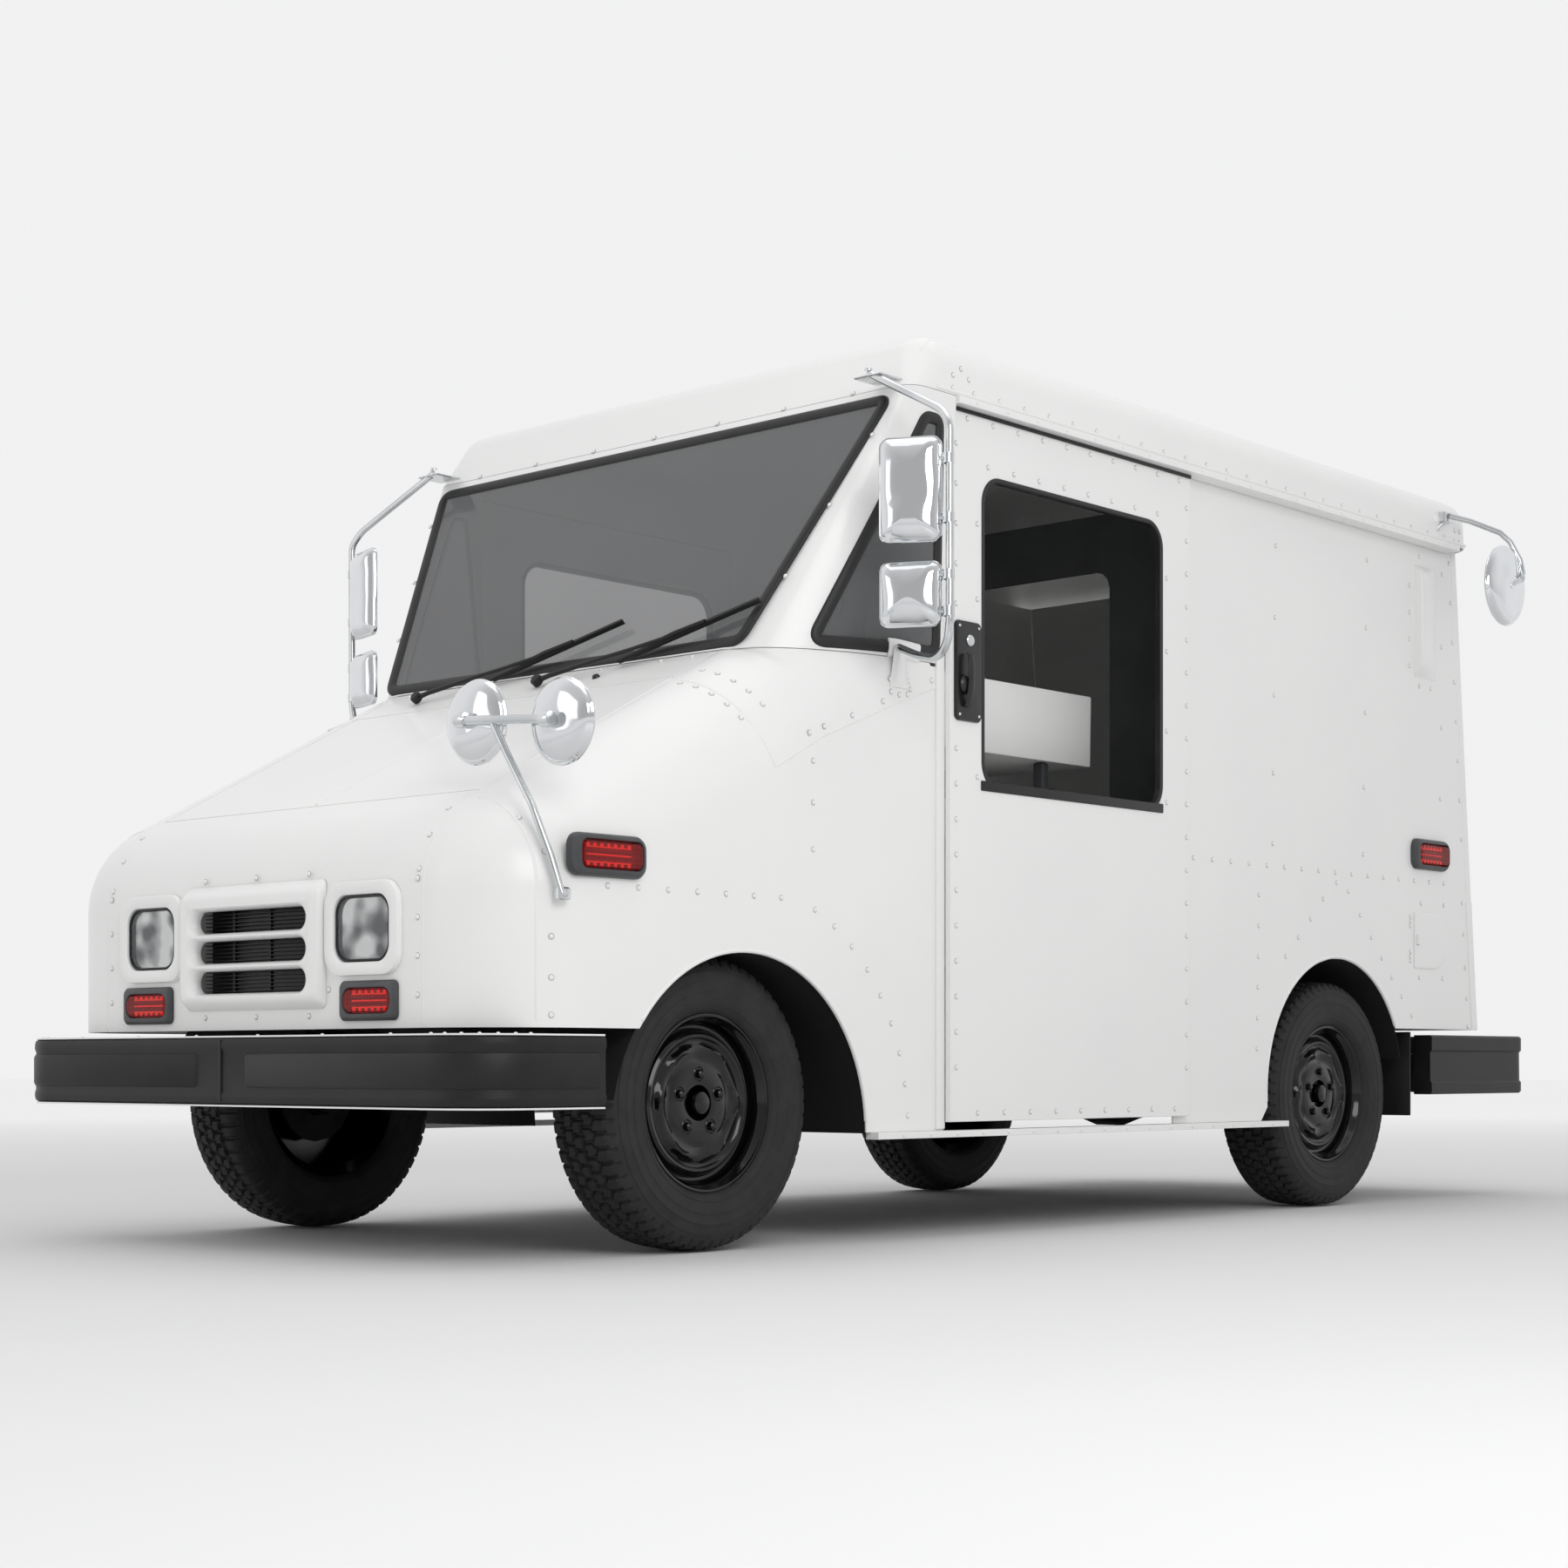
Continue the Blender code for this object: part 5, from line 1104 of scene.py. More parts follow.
# %% Fuel door
flap = [(2.987, 0.697), (3.130, 0.697), (3.183, 0.735), (3.183, 0.827), (3.130, 0.865), (2.987, 0.865)]
flap = [(p.x, p.y) for p in round_corners([Vector(p) for p in flap], [0.008, 0.03, 0.03, 0.03, 0.03, 0.008])]
centre_s, centre_z = 3.085, 0.781
rings = []
for lift, shrink in ((0.0006, 1.0), (0.0026, 1.0), (0.0036, 0.975), (0.0036, 0.90)):
    rings.append([(HALF_WIDTH + lift, at(centre_s + (s - centre_s) * shrink), centre_z + (z - centre_z) * shrink)
                  for s, z in flap])
tab = block((HALF_WIDTH + 0.003, at(2.995), 0.766), (HALF_WIDTH + 0.013, at(3.006), 0.796), 0.003)
piece("fuel_flap", merge(loft(rings), tab), enamel, "fuel_door", ["fuel_door"])

# %% [markdown]
# ## Doors
# The doors slide on a rail, so they stand 20 mm proud of the body. Each carries its window rubber, a black wiping
# strip below the glass, the rivets of its frame, and a moulded lock plate with four screws and a key disc.

# %% Door trim
DOOR_FACE = 0.820
WINDOW = (0.858, 1.619, 1.07, 1.818)
for side, sign in SIDES:
    door = f"door_{side}"
    mid_s, mid_z = (WINDOW[0] + WINDOW[1]) / 2, (WINDOW[2] + WINDOW[3]) / 2
    frame_line = [(mid_s + u, mid_z + v) for u, v in rounded(WINDOW[1] - WINDOW[0], WINDOW[3] - WINDOW[2], 0.065, 10)]
    strip(f"window_rubber_{side}", on_side(frame_line, sign, DOOR_FACE - 0.003), seal_rubber, door,
          [(0.004, -0.012), (0.004, 0.004), (0.001, 0.0062), (-0.005, 0.006), (-0.008, 0.003), (-0.008, -0.012)],
          closed=True)
    wipe = block((sign * (DOOR_FACE - 0.001), at(0.852), 1.064),
                 (sign * (DOOR_FACE + 0.004), at(1.622), 1.088), 0.002)
    piece(f"window_strip_{side}", wipe, seal_rubber, door)
    pairs = run((1.735, 0.399), (1.735, 1.877), 18) + run((0.757, 0.401), (0.757, 1.157), 10)
    pairs += run((0.757, 1.50), (0.757, 1.88), 5)
    pairs += [(1.642, z) for z in (1.093, 1.280, 1.488, 1.68)] + [(0.838, z) for z in (1.095, 1.52, 1.70)]
    pairs += run((0.88, 1.842), (1.60, 1.842), 8) + run((0.80, 1.945), (1.70, 1.945), 10)
    pairs += run((0.84, 0.292), (1.68, 0.292), 9)
    rivets(f"door_rivets_{side}", on_side(pairs, sign, DOOR_FACE), door)
    plate_rings = []
    for lift, shrink in ((0.0, 1.0), (0.004, 1.0), (0.0075, 0.955), (0.008, 0.90)):
        outline = rounded(0.099 * shrink, 0.238 - 0.099 * (1 - shrink), 0.014 * shrink, 6)
        plate_rings.append([(sign * (DOOR_FACE + lift), at(0.7975 + u), 1.343 + v) for u, v in outline])
    key = turned([(0.0, 0.0125), (0.012, 0.012), (0.014, 0.010), (0.014, 0.004)],
                 (DOOR_FACE, at(0.800), 1.416), "X", 24, closed=False)
    piece(f"lock_plate_{side}", loft(plate_rings), gloss_plastic, door)
    piece(f"key_disc_{side}", flipped(key, sign), zinc_steel, door)
    screws = [(0.7975 + u, 1.343 + v) for u in (-0.037, 0.037) for v in (-0.105, 0.105)]
    rivets(f"plate_screws_{side}", on_side(screws, sign, DOOR_FACE + 0.008), door, zinc_steel, SMALL_RIVET)
    grip = []
    for z, x, half in ((1.256, 0.8300, 0.010), (1.262, 0.8365, 0.0115), (1.285, 0.843, 0.012), (1.32, 0.8475, 0.012),
                       (1.355, 0.8475, 0.0115), (1.378, 0.844, 0.0105), (1.384, 0.838, 0.008)):
        grip.append([(x + 0.008 * u, at(0.783) + 2 * half * v, z) for u, v in rounded(1, 1, 0.45, 5)])
    spindle = turned([(0.0, 0.0085), (0.024, 0.0085), (0.024, 0.012), (0.019, 0.018), (0.0, 0.024)],
                     (DOOR_FACE, at(0.783), 1.310), "X", 32, closed=False)
    piece(f"grip_handle_{side}", flipped(merge(loft(grip), spindle), sign), gloss_plastic, f"handle_{side}",
          [f"door_handle_{side}"])
    rub = block((sign * 0.7995, at(0.702), 0.256), (sign * 0.8054, at(0.7325), 1.962), 0.001)
    piece(f"door_post_strip_{side}", rub, enamel)
    top_seal = block((sign * 0.8214, at(0.735), 1.957), (sign * 0.8240, at(1.752), 1.9662), 0.0008)
    piece(f"door_top_seal_{side}", top_seal, seal_rubber)
    lip = [(0.7345, 0.2735), (1.7485, 0.2735), (1.7485, 1.962), (0.7345, 1.962)]
    strip(f"door_edge_fold_{side}", on_side(lip, sign, DOOR_FACE), body=door, section=bead(0.003, 0.0012),
          closed=True)

# %% [markdown]
# ## Tail
# The rear door is a roller made of narrow slats, which slide in the frame's channels and roll up under the roof.
# A lift handle sits on the bottom slat. Beside the door, three round tail lamps stand above each other on each side.

# %% Rear door and lamps
def on_rear(x, z, lift=0.0):
    """A place on the leaning rear face."""
    return Vector((x, at(rear_station(z) + lift), z))


REAR_OUT = Vector((0, 1, REAR_LEAN)).normalized()
DOOR_LOW, DOOR_HIGH, DOOR_DEPTH, SLATS = 0.562, 1.888, -0.0485, 16
profile = [(DOOR_DEPTH, DOOR_LOW)]
SLAT = (DOOR_HIGH - DOOR_LOW) / SLATS
for k in range(SLATS):
    low = DOOR_LOW + SLAT * k
    profile += [(-0.037, low + 0.001), (-0.0325, low + 0.006), (-0.0315, low + SLAT / 2),
                (-0.0325, low + SLAT - 0.006), (-0.037, low + SLAT - 0.001)]
profile.append((DOOR_DEPTH, DOOR_HIGH))
piece("roller_door", loft([[on_rear(x, z, lift) for lift, z in profile] for x in (-0.70, 0.70)]), enamel,
      stands_for=["rear_door"])
handle = tube(round_corners([on_rear(-0.11, 0.640, -0.030), on_rear(-0.11, 0.640, 0.000),
                             on_rear(0.11, 0.640, 0.000), on_rear(0.11, 0.640, -0.030)], 0.02, closed=False), 0.007)
piece("lift_handle", handle, zinc_steel)
ring = [on_rear(u, v + 1.225, 0.0002) for u, v in rounded(1.38, 1.31, 0.055, 8)]
strip("rear_opening_bead", [(p, REAR_OUT) for p in ring], section=bead(0.020, 0.004, 0.002), closed=True)
for side, sign in SIDES:
    rims = []
    for z, material, label in ((0.80, red_acrylic, "stop"), (0.93, red_acrylic, "tail"),
                               (1.06, clear_glass, "reverse")):
        place = standing(on_rear(sign * 0.745, z), REAR_OUT)
        rim = turned([(0.050, 0.0), (0.050, 0.008), (0.046, 0.012), (0.042, 0.012), (0.041, 0.002)],
                     axis="Z", steps=40)
        lens = turned([(0.0, 0.017), (0.020, 0.016), (0.036, 0.012), (0.0405, 0.008), (0.0405, 0.001)], axis="Z",
                      steps=40, closed=False)
        rims.append(moved(rim, place))
        piece(f"{label}_lens_{side}", moved(lens, place), material)
    piece(f"tail_lamp_rims_{side}", merge(*rims), seal_rubber)
    rivets(f"rear_rivets_{side}", [(on_rear(sign * 0.775, 0.60 + 0.12 * k), REAR_OUT) for k in range(12)])
rivets("rear_header_rivets", [(on_rear(x, 1.945), REAR_OUT) for x in (-0.6 + 0.15 * k for k in range(9))])

# %% [markdown]
# ## Bumpers
# Both bumpers are moulded covers over a steel beam. Seen from above each is a U with generous corners, and one
# section is swept round it: flat bands at top and bottom, and a raised pad between them on the front. Thin white
# plates, riveted down, close the cover's top and bottom edges.


# %% Bumpers
def bumper_path(half, tail, face_station, radius, face, steps=12):
    """Points of the U and their outward normals, from one open end round to the other."""
    mid = face_station - face * radius
    pairs = [(half, tail, (1, 0))]
    for k in range(steps + 1):
        a = math.pi / 2 * k / steps
        pairs.append((half - radius + radius * math.cos(a), mid + face * radius * math.sin(a),
                      (math.cos(a), face * math.sin(a))))
    pairs = pairs + [(-x, s, (-n[0], n[1])) for x, s, n in reversed(pairs)]
    return [(Vector((x, at(s), 0)), Vector((*n, 0))) for x, s, n in pairs]


def swept_band(pairs, section):
    """section holds (outward, height), with outward counted from the path."""
    return loft([[p + n * out + Vector((0, 0, z)) for out, z in section] for p, n in pairs])


front_path = bumper_path(0.835, -0.405, -0.757, 0.160, -1)
front_section = [(-0.055, 0.322), (-0.010, 0.322), (-0.004, 0.326), (-0.002, 0.334), (-0.002, 0.342),
                 (-0.0045, 0.350), (-0.0050, 0.436), (-0.002, 0.444), (-0.002, 0.454), (-0.004, 0.462),
                 (-0.010, 0.466), (-0.055, 0.466)]
piece("front_bumper_cover", swept_band(front_path, front_section), polypropylene, stands_for=["front_bumper"])


pad_section = [(-0.010, 0.356), (-0.0035, 0.359), (0.0, 0.366), (0.0, 0.424), (-0.0035, 0.431), (-0.010, 0.434)]
for side, sign in SIDES:
    half = [(p, n) for p, n in front_path if p.x * sign > 0.10]
    half = sorted(half, key=lambda pair: (abs(pair[0].x) if pair[0].y < at(-0.60) else 10 + pair[0].y))
    ends = [(Vector((sign * x, at(-0.757 + sink), 0)), Vector((0, -1, 0))) for x, sink in ((0.084, 0.005),
                                                                                         (0.092, 0.0))]
    half = ends + [h for h in half if h[0].y < at(-0.41)]
    half.append((Vector((sign * 0.835, at(-0.425), 0)), Vector((sign, 0, 0))))
    piece(f"bumper_pad_{side}", swept_band(half, pad_section), polypropylene)
piece("bumper_split", block((-0.003, at(-0.7565), 0.328), (0.003, at(-0.745), 0.462), 0.001), seal_rubber)
for name, z in (("upper", 0.4662), ("lower", 0.3175)):
    plate = [(-0.060, z), (-0.006, z), (-0.006, z + 0.0036), (-0.060, z + 0.0036)]
    piece(f"bumper_{name}_plate", swept_band(front_path, plate), enamel)
spots = [(p - n * 0.020 + Vector((0, 0, 0.4698)), (0, 0, 1)) for p, n in front_path[1:-1:2]]
spots += [(Vector((x, at(-0.737), 0.4698)), (0, 0, 1)) for x in (-0.55, -0.33, -0.11, 0.11, 0.33, 0.55)]
rivets("bumper_rivets", spots, radius=0.004)
rear_path = bumper_path(0.820, 3.060, 3.700, 0.080, 1)
rear_section = [(-0.060, 0.318), (-0.006, 0.318), (0.0, 0.324), (0.0, 0.352), (-0.005, 0.358), (-0.006, 0.446),
                (0.0, 0.452), (0.0, 0.491), (-0.006, 0.497), (-0.060, 0.497)]
step = loft([[(x, at(s), z) for x, s in ((-0.765, 3.445), (0.765, 3.445), (0.765, 3.645), (-0.765, 3.645))]
             for z in (0.440, 0.4965)])
treads = [block((x - 0.055, at(3.465), 0.4955), (x + 0.055, at(3.635), 0.4970), 0.0004)
          for x in (-0.63 + 0.14 * k for k in range(10))]
piece("rear_bumper_cover", swept_band(rear_path, rear_section), polypropylene, stands_for=["rear_bumper"])
piece("rear_step", merge(step, *treads), polypropylene)

# %% [markdown]
# ## Tyres
# A tyre is a turned section with moulded detail: rings on the sidewall, a shoulder with notches, and a tread of
# five ribs cut by zigzag grooves. The tread is made by lifting and sinking the points of one dense turned skin,
# so the blocks and the grooves are one rubber body. The four tyres share one mesh.

# %% Tyre
SECTION = [(0.1962, 0.0755), (0.200, 0.082), (0.206, 0.0875), (0.213, 0.0912), (0.2135, 0.0922), (0.216, 0.0925),
           (0.2165, 0.0918), (0.226, 0.0948), (0.240, 0.0968), (0.2405, 0.0974), (0.2435, 0.0975), (0.244, 0.0968),
           (0.262, 0.0972), (0.2625, 0.0975), (0.266, 0.0975), (0.2665, 0.0968), (0.284, 0.0950), (0.2845, 0.0958),
           (0.288, 0.0952), (0.2885, 0.0938), (0.298, 0.0905), (0.306, 0.0865), (0.3125, 0.0805)]
TREAD_HALF, TREAD_COLUMNS = 0.0735, 43
PITCHES, PER_PITCH = 60, 8
RIB_EDGES = (-0.043, -0.0145, 0.0145, 0.043)


def crown(along):
    """Radius of the unworn tread at a distance from its middle."""
    return TYRE_RADIUS - 0.006 * (along / TREAD_HALF) ** 2


def groove_depth(along, step):
    """How far the tread is sunk at a distance from the middle, at a step round the tyre."""
    share = (step % PER_PITCH) / PER_PITCH
    zigzag = (abs(share * 2 - 1) - 0.5) * 0.009
    if any(abs(along - edge - zigzag) < 0.0030 for edge in RIB_EDGES):
        return 0.009
    rib = sum(along > edge + zigzag for edge in RIB_EDGES)
    shifted = (step + (0, 4, 1, 5, 2)[rib]) % PER_PITCH
    return 0.0075 if shifted < 2 else 0.0


def tyre_mesh():
    middle = [(None, TREAD_HALF * (1 - 2 * k / (TREAD_COLUMNS - 1))) for k in range(TREAD_COLUMNS)]
    profile = SECTION + middle + [(r, -d) for r, d in reversed(SECTION)]
    rings = []
    for k in range(PITCHES * PER_PITCH):
        a = FULL_TURN * k / (PITCHES * PER_PITCH)
        ring = []
        for r, d in profile:
            if r is None:
                r = crown(d) - groove_depth(d, k)
            elif r > 0.300 and k % PER_PITCH < 2:
                r, d = r - 0.0045, d * 0.98
            ring.append(Vector((d, r * math.cos(a), r * math.sin(a))))
        rings.append(ring)
    return mesh_of("tyre", loft(rings, closed=True), weld=0)


WHEELS = [(f"{end}_{side}", sign, WHEEL_X[end], station) for end, station in (("front", 0.0), ("rear", REAR_AXLE))
          for side, sign in SIDES]
tyre = tyre_mesh()
for name, sign, x, station in WHEELS:
    from_mesh(f"treaded_tyre_{name}", tyre, tyre_rubber, f"wheel_{name}", [f"tyre_{name}"], 30,
              (sign * x, at(station), TYRE_RADIUS), (0, 0, 0 if sign > 0 else math.pi))
print("tyre points", len(tyre.vertices), "pitches", PITCHES)

# %% [markdown]
# ## Wheels
# The wheel is a dished steel disc welded into a drop-centre rim and stove-enamelled gloss black. Pressed ridges
# stiffen the dish, and between the middle ridge and the flat hub face the disc is scalloped into six lobes. Five
# bolts with domed heads sit in countersinks, and a cap covers the bearing.

# %% Wheel disc
LOBES, BOLTS, BOLT_CIRCLE = 6, 5, 0.0635
LOBE_RADIUS, LOBE_SPREAD, LOBE_REACH, LOBE_LIFT = 0.110, 0.022, 0.009, 0.006
DISC = [(0.1955, 0.0762), (0.1952, 0.0775), (0.1925, 0.0782), (0.1890, 0.0768), (0.1865, 0.0715), (0.1800, 0.0640),
        (0.1765, 0.0560), (0.1745, 0.0440), (0.1700, 0.0360), (0.1640, 0.0340), (0.1590, 0.0385), (0.1560, 0.0460),
        (0.1500, 0.0505), (0.1440, 0.0490), (0.1400, 0.0440), (0.1350, 0.0420), (0.1300, 0.0445), (0.1250, 0.0505),
        (0.1190, 0.0535), (0.1110, 0.0530), (0.1040, 0.0490), (0.0960, 0.0480), (0.0880, 0.0495), (0.0850, 0.0510),
        (0.0420, 0.0510), (0.0395, 0.0500), (0.0385, 0.0470), (0.0385, 0.0330)]
BACK = [(0.0385, 0.0290), (0.0950, 0.0290), (0.1300, 0.0300), (0.1720, 0.0260), (0.1740, -0.0600), (0.1957, -0.0755),
        (0.1957, -0.0740), (0.1790, -0.0560), (0.1785, 0.0300), (0.1957, 0.0740)]


def wheel_shape():
    steps = 120
    rings = []
    for k in range(steps):
        a = FULL_TURN * k / steps
        wave = math.cos(LOBES * a)
        ring = []
        for r, d in DISC:
            share = max(0.0, 1 - abs(r - LOBE_RADIUS) / LOBE_SPREAD)
            reach = r + LOBE_REACH * share * wave
            ring.append(Vector((d + LOBE_LIFT * share * wave, reach * math.cos(a), reach * math.sin(a))))
        ring += [Vector((d, r * math.cos(a), r * math.sin(a))) for r, d in BACK]
        rings.append(ring)
    parts = [loft(rings, closed=True)]
    for k in range(BOLTS):
        a = FULL_TURN * (k + 0.25) / BOLTS
        centre = Matrix.Translation((0.0510, BOLT_CIRCLE * math.cos(a), BOLT_CIRCLE * math.sin(a)))
        parts.append(moved(turned([(0.0165, -0.002), (0.0165, 0.0005), (0.0150, 0.0016), (0.0135, 0.0002),
                                   (0.0130, -0.002)], steps=24), centre))
        parts.append(moved(turned([(0.0, 0.0125), (0.0050, 0.0118), (0.0085, 0.0090), (0.0100, 0.0045),
                                   (0.0105, -0.003)], steps=20, closed=False), centre))
    parts.append(turned([(0.0, 0.0660), (0.0180, 0.0655), (0.0240, 0.0620), (0.0262, 0.0560), (0.0270, 0.0380)],
                        steps=36, closed=False))
    return merge(*parts)


wheel = mesh_of("wheel", wheel_shape())
for name, sign, x, station in WHEELS:
    from_mesh(f"steel_wheel_{name}", wheel, wheel_enamel, f"wheel_{name}", [f"rim_{name}"], 30,
              (sign * x, at(station), TYRE_RADIUS), (0, 0, 0 if sign > 0 else math.pi))
print("wheel points", len(wheel.vertices), "bolts", BOLTS)

# %% [markdown]
# ## Wheelhouses and mudflaps
# Black liners close the wheel arches from inside, sprayed with underseal, so nothing bright shows behind a tyre.
# Each is a thin curved sheet that follows its arch with room for the tyre to turn.

# %% Liners
for side, sign in SIDES:
    for label, circle, low, high, a0, a1 in (("front", FRONT_ARCH, 0.32, 0.793, 0, 168),
                                             ("rear", REAR_ARCH, 0.535, 0.793, 14, 180)):
        line = arc_points((circle[0], circle[1], circle[2] + 0.004), math.radians(a0), math.radians(a1), 36)
        points, normals = [], []
        for s, z in line:
            out = (0, s - circle[0], z - circle[1])
            for x in (low, high):
                points.append((sign * x, at(s), z))
                normals.append(out)
        piece(f"{label}_liner_{side}", shell(points, normals, grid_faces(len(line), 2), 0.002), liner_black)
    flap = block((sign * 0.600, at(2.99), 0.255), (sign * 0.785, at(2.996), 0.506), 0.002)
    piece(f"mudflap_{side}", flap, seal_rubber)
    piece(f"bumper_bracket_{side}", block((sign * 0.700, at(3.16), 0.322), (sign * 0.708, at(3.283), 0.470), 0.003),
          primer_and_painted_shade)

# %% [markdown]
# ## Mirrors
# The driver of such a truck sits among mirrors. Each side has a tall and a short head on one tube, and the left
# side adds two convex mirrors over the nose and one at the tail. The shells are thin pressings: a raised rim and a
# domed back.

# %% Side mirror heads
TUBE_X, TUBE_S, MIRROR_WIDE = 1.050, 0.444, 0.143
CLAMP_SHIFT = 0.0044            # keeps the clamps inside the fixed box
for side, sign in SIDES:
    turn = math.radians(27 if side == "left" else 16)
    across = Vector((-math.cos(turn), -math.sin(turn), 0))
    ahead = Vector((math.sin(turn), -math.cos(turn), 0))
    for level, mid, high in (("upper", 1.690, 0.236), ("lower", 1.457, 0.146)):
        middle = Vector((TUBE_X, at(TUBE_S), mid)) + across * (0.018 + MIRROR_WIDE / 2)

        def head_ring(inset, depth, corner=0.022):
            outline = rounded(MIRROR_WIDE - 2 * inset, high - 2 * inset, max(corner - inset * 0.35, 0.006), 8)
            return [middle + across * u + Vector((0, 0, v)) + ahead * depth for u, v in outline]

        back = [head_ring(*step) for step in (
            (0.003, -0.008), (0.0, -0.006), (0.0, 0.003), (0.0015, 0.0055), (0.004, 0.0060), (0.006, 0.0085),
            (0.010, 0.014), (0.017, 0.0195), (0.026, 0.0240), (0.038, 0.0275), (0.052, 0.0295), (0.064, 0.0302))]
        name = f"mirror_{level}_{side}"
        piece(f"{name}_shell", flipped(loft(back), sign), polished_steel, name, [name])
        glass = [head_ring(0.006, -0.0089), head_ring(0.006, -0.0078)]
        piece(f"{name}_glass", flipped(loft(glass), sign), silvered_glass, name)
        arms = [tube([Vector((TUBE_X, at(TUBE_S), mid + v)), Vector((TUBE_X, at(TUBE_S), mid + v))
                      + across * 0.030 + ahead * 0.004], 0.006, 10) for v in (-high * 0.28, high * 0.28)]
        clamps = [turned([(0.0102, -0.011), (0.0138, -0.011), (0.0138, 0.011), (0.0102, 0.011)],
                         (TUBE_X - CLAMP_SHIFT, at(TUBE_S), mid + v), "Z", 24) for v in (-high * 0.28, high * 0.28)]
        piece(f"{name}_clamps", flipped(merge(*arms, *clamps), sign), zinc_steel, name)
    route = [(0.768, 0.500, 2.004), (1.020, 0.453, 1.871), (TUBE_X, TUBE_S, 1.835), (TUBE_X, TUBE_S, 1.390),
             (1.042, 0.447, 1.352), (1.018, 0.456, 1.328), (0.985, 0.470, 1.320), (0.900, 0.511, 1.341),
             (0.814, 0.552, 1.372)]
    route = [Vector((a, at(b), c)) for a, b, c in route]
    smooth_route = [route[0]]
    for i in range(1, len(route) - 1):
        before, after = route[i - 1] - route[i], route[i + 1] - route[i]
        reach = min(0.018, before.length * 0.45, after.length * 0.45)
        smooth_route += [route[i] + before.normalized() * reach * (1 - t) ** 2 + after.normalized() * reach * t ** 2
                         for t in (0, 0.25, 0.5, 0.75, 1)]
    smooth_route.append(route[-1])
    piece(f"mirror_tube_{side}", flipped(tube(smooth_route, 0.0092, 16), sign), zinc_steel,
          stands_for=[f"mirror_bracket_{side}"])
    plate = block((0.735, at(0.482), 1.992), (0.815, at(0.5655), 1.997), 0.004)
    bolts = [dome_shape((x, at(s), 1.997), (0, 0, 1), 0.008, 0.006, 12) for x, s in ((0.752, 0.545), (0.795, 0.545))]
    bolts.append(dome_shape((0.768, at(0.497), 2.012), (0, -0.3, 1), 0.010, 0.007, 12))
    piece(f"mirror_root_{side}", flipped(merge(plate, *bolts), sign), zinc_steel)
    foot = cab_side([(0.540, 1.374), (0.566, 1.374), (0.600, 1.372), (0.640, 1.369)], 1, 0.0005)
    pad = sweep([p for p, _ in foot], [n for _, n in foot], [(0.022, 0.0), (0.022, 0.002), (0.017, 0.006),
                                                             (-0.017, 0.006), (-0.022, 0.002), (-0.022, 0.0)])
    bolt = dome_shape(*cab_side([(0.562, 1.374)], 1, 0.007)[0], 0.009, 0.007, 12)
    piece(f"mirror_foot_{side}", flipped(pad, sign), enamel)
    gusset = loft([[(0.8004, at(0.570 + u), z) for u in (-half, half)]
                   + [(0.8004 + 0.010 * high, at(0.570 + u), z) for u in (half * 0.55, -half * 0.55)]
                   for z, half, high in ((1.282, 0.034, 0.25), (1.290, 0.034, 0.3), (1.352, 0.022, 1.0),
                                         (1.372, 0.019, 1.2))])
    piece(f"mirror_gusset_{side}", flipped(gusset, sign), enamel)
    rivets(f"gusset_rivets_{side}", on_side([(0.540, 1.270), (0.570, 1.266), (0.600, 1.270), (0.537, 1.30),
                                             (0.603, 1.30)], sign))
    piece(f"mirror_foot_bolt_{side}", flipped(bolt, sign), zinc_steel)

# %% [markdown]
# ## Round mirrors
# A convex mirror is a turned shape: glass, a rolled rim, and a spun dome with a bolt at its crown. The two in
# front share a stay that rises from the fender, and the one at the tail hangs on a bent rod from the roof's edge.


# %% Round mirrors
def round_mirror(radius, depth):
    """Profile of the spun shell, as radius and distance from the glass."""
    profile = [(0.0, 0.0004), (radius - 0.006, 0.0004), (radius - 0.002, 0.0012), (radius, 0.0040),
               (radius, 0.0075), (radius - 0.002, 0.0100), (radius * 0.965, 0.0120)]
    profile += [(radius * 0.965 * math.cos(a), 0.012 + (depth - 0.005) * math.sin(a))
                for a in (math.radians(8 * k) for k in range(1, 11))]
    profile += [(0.012, depth + 0.0065), (0.012, depth + 0.0075), (0.0, depth + 0.0080)]
    return profile


TWINS, TWIN_S, BAR_S = ((0.556, 1.120), (0.815, 1.100)), -0.502, -0.554
for label, (x, z) in zip(("inner", "outer"), TWINS):
    shape = turned([(r, -d) for r, d in round_mirror(0.090, 0.030)], (x, at(TWIN_S), z), "Y", 56, closed=False)
    piece(f"twin_shell_{label}", shape, polished_steel, f"twin_{label}", [f"twin_mirror_{label}"])
    glass = turned([(0.0, 0.0003), (0.083, 0.0003), (0.083, -0.0008), (0.0, -0.0008)], (x, at(TWIN_S), z), "Y", 48,
                   closed=False)
    piece(f"twin_glass_{label}", glass, silvered_glass, f"twin_{label}")
stay = [Vector((a, at(b), c)) for a, b, c in ((0.8135, -0.512, 0.752), (0.7960, -0.527, 0.830),
                                              (0.755, -0.540, 0.935), (0.688, -0.546, 1.040),
                                              (0.655, BAR_S, 1.104))]
(x0, z0), (x1, z1) = TWINS
bar = tube([(x0 - 0.01, at(BAR_S), z0), (x1 + 0.01, at(BAR_S), z1)], 0.0095, 16)
knuckles = [turned([(0.0, -0.014), (0.015, -0.013), (0.017, 0.0), (0.015, 0.013), (0.0, 0.014)],
                   (x, at(BAR_S), z), "X", 24, closed=False) for x, z in TWINS]
foot = block((0.800, at(-0.522), 0.740), (0.8165, at(-0.488), 0.766), 0.003)
piece("twin_stay", merge(tube(stay, 0.0078, 16), bar, *knuckles), zinc_steel, stands_for=["crossover_arm"])
piece("twin_stay_foot", merge(foot, dome_shape((0.8165, at(-0.505), 0.753), (1, 0, 0), 0.008, 0.005, 12)), zinc_steel)

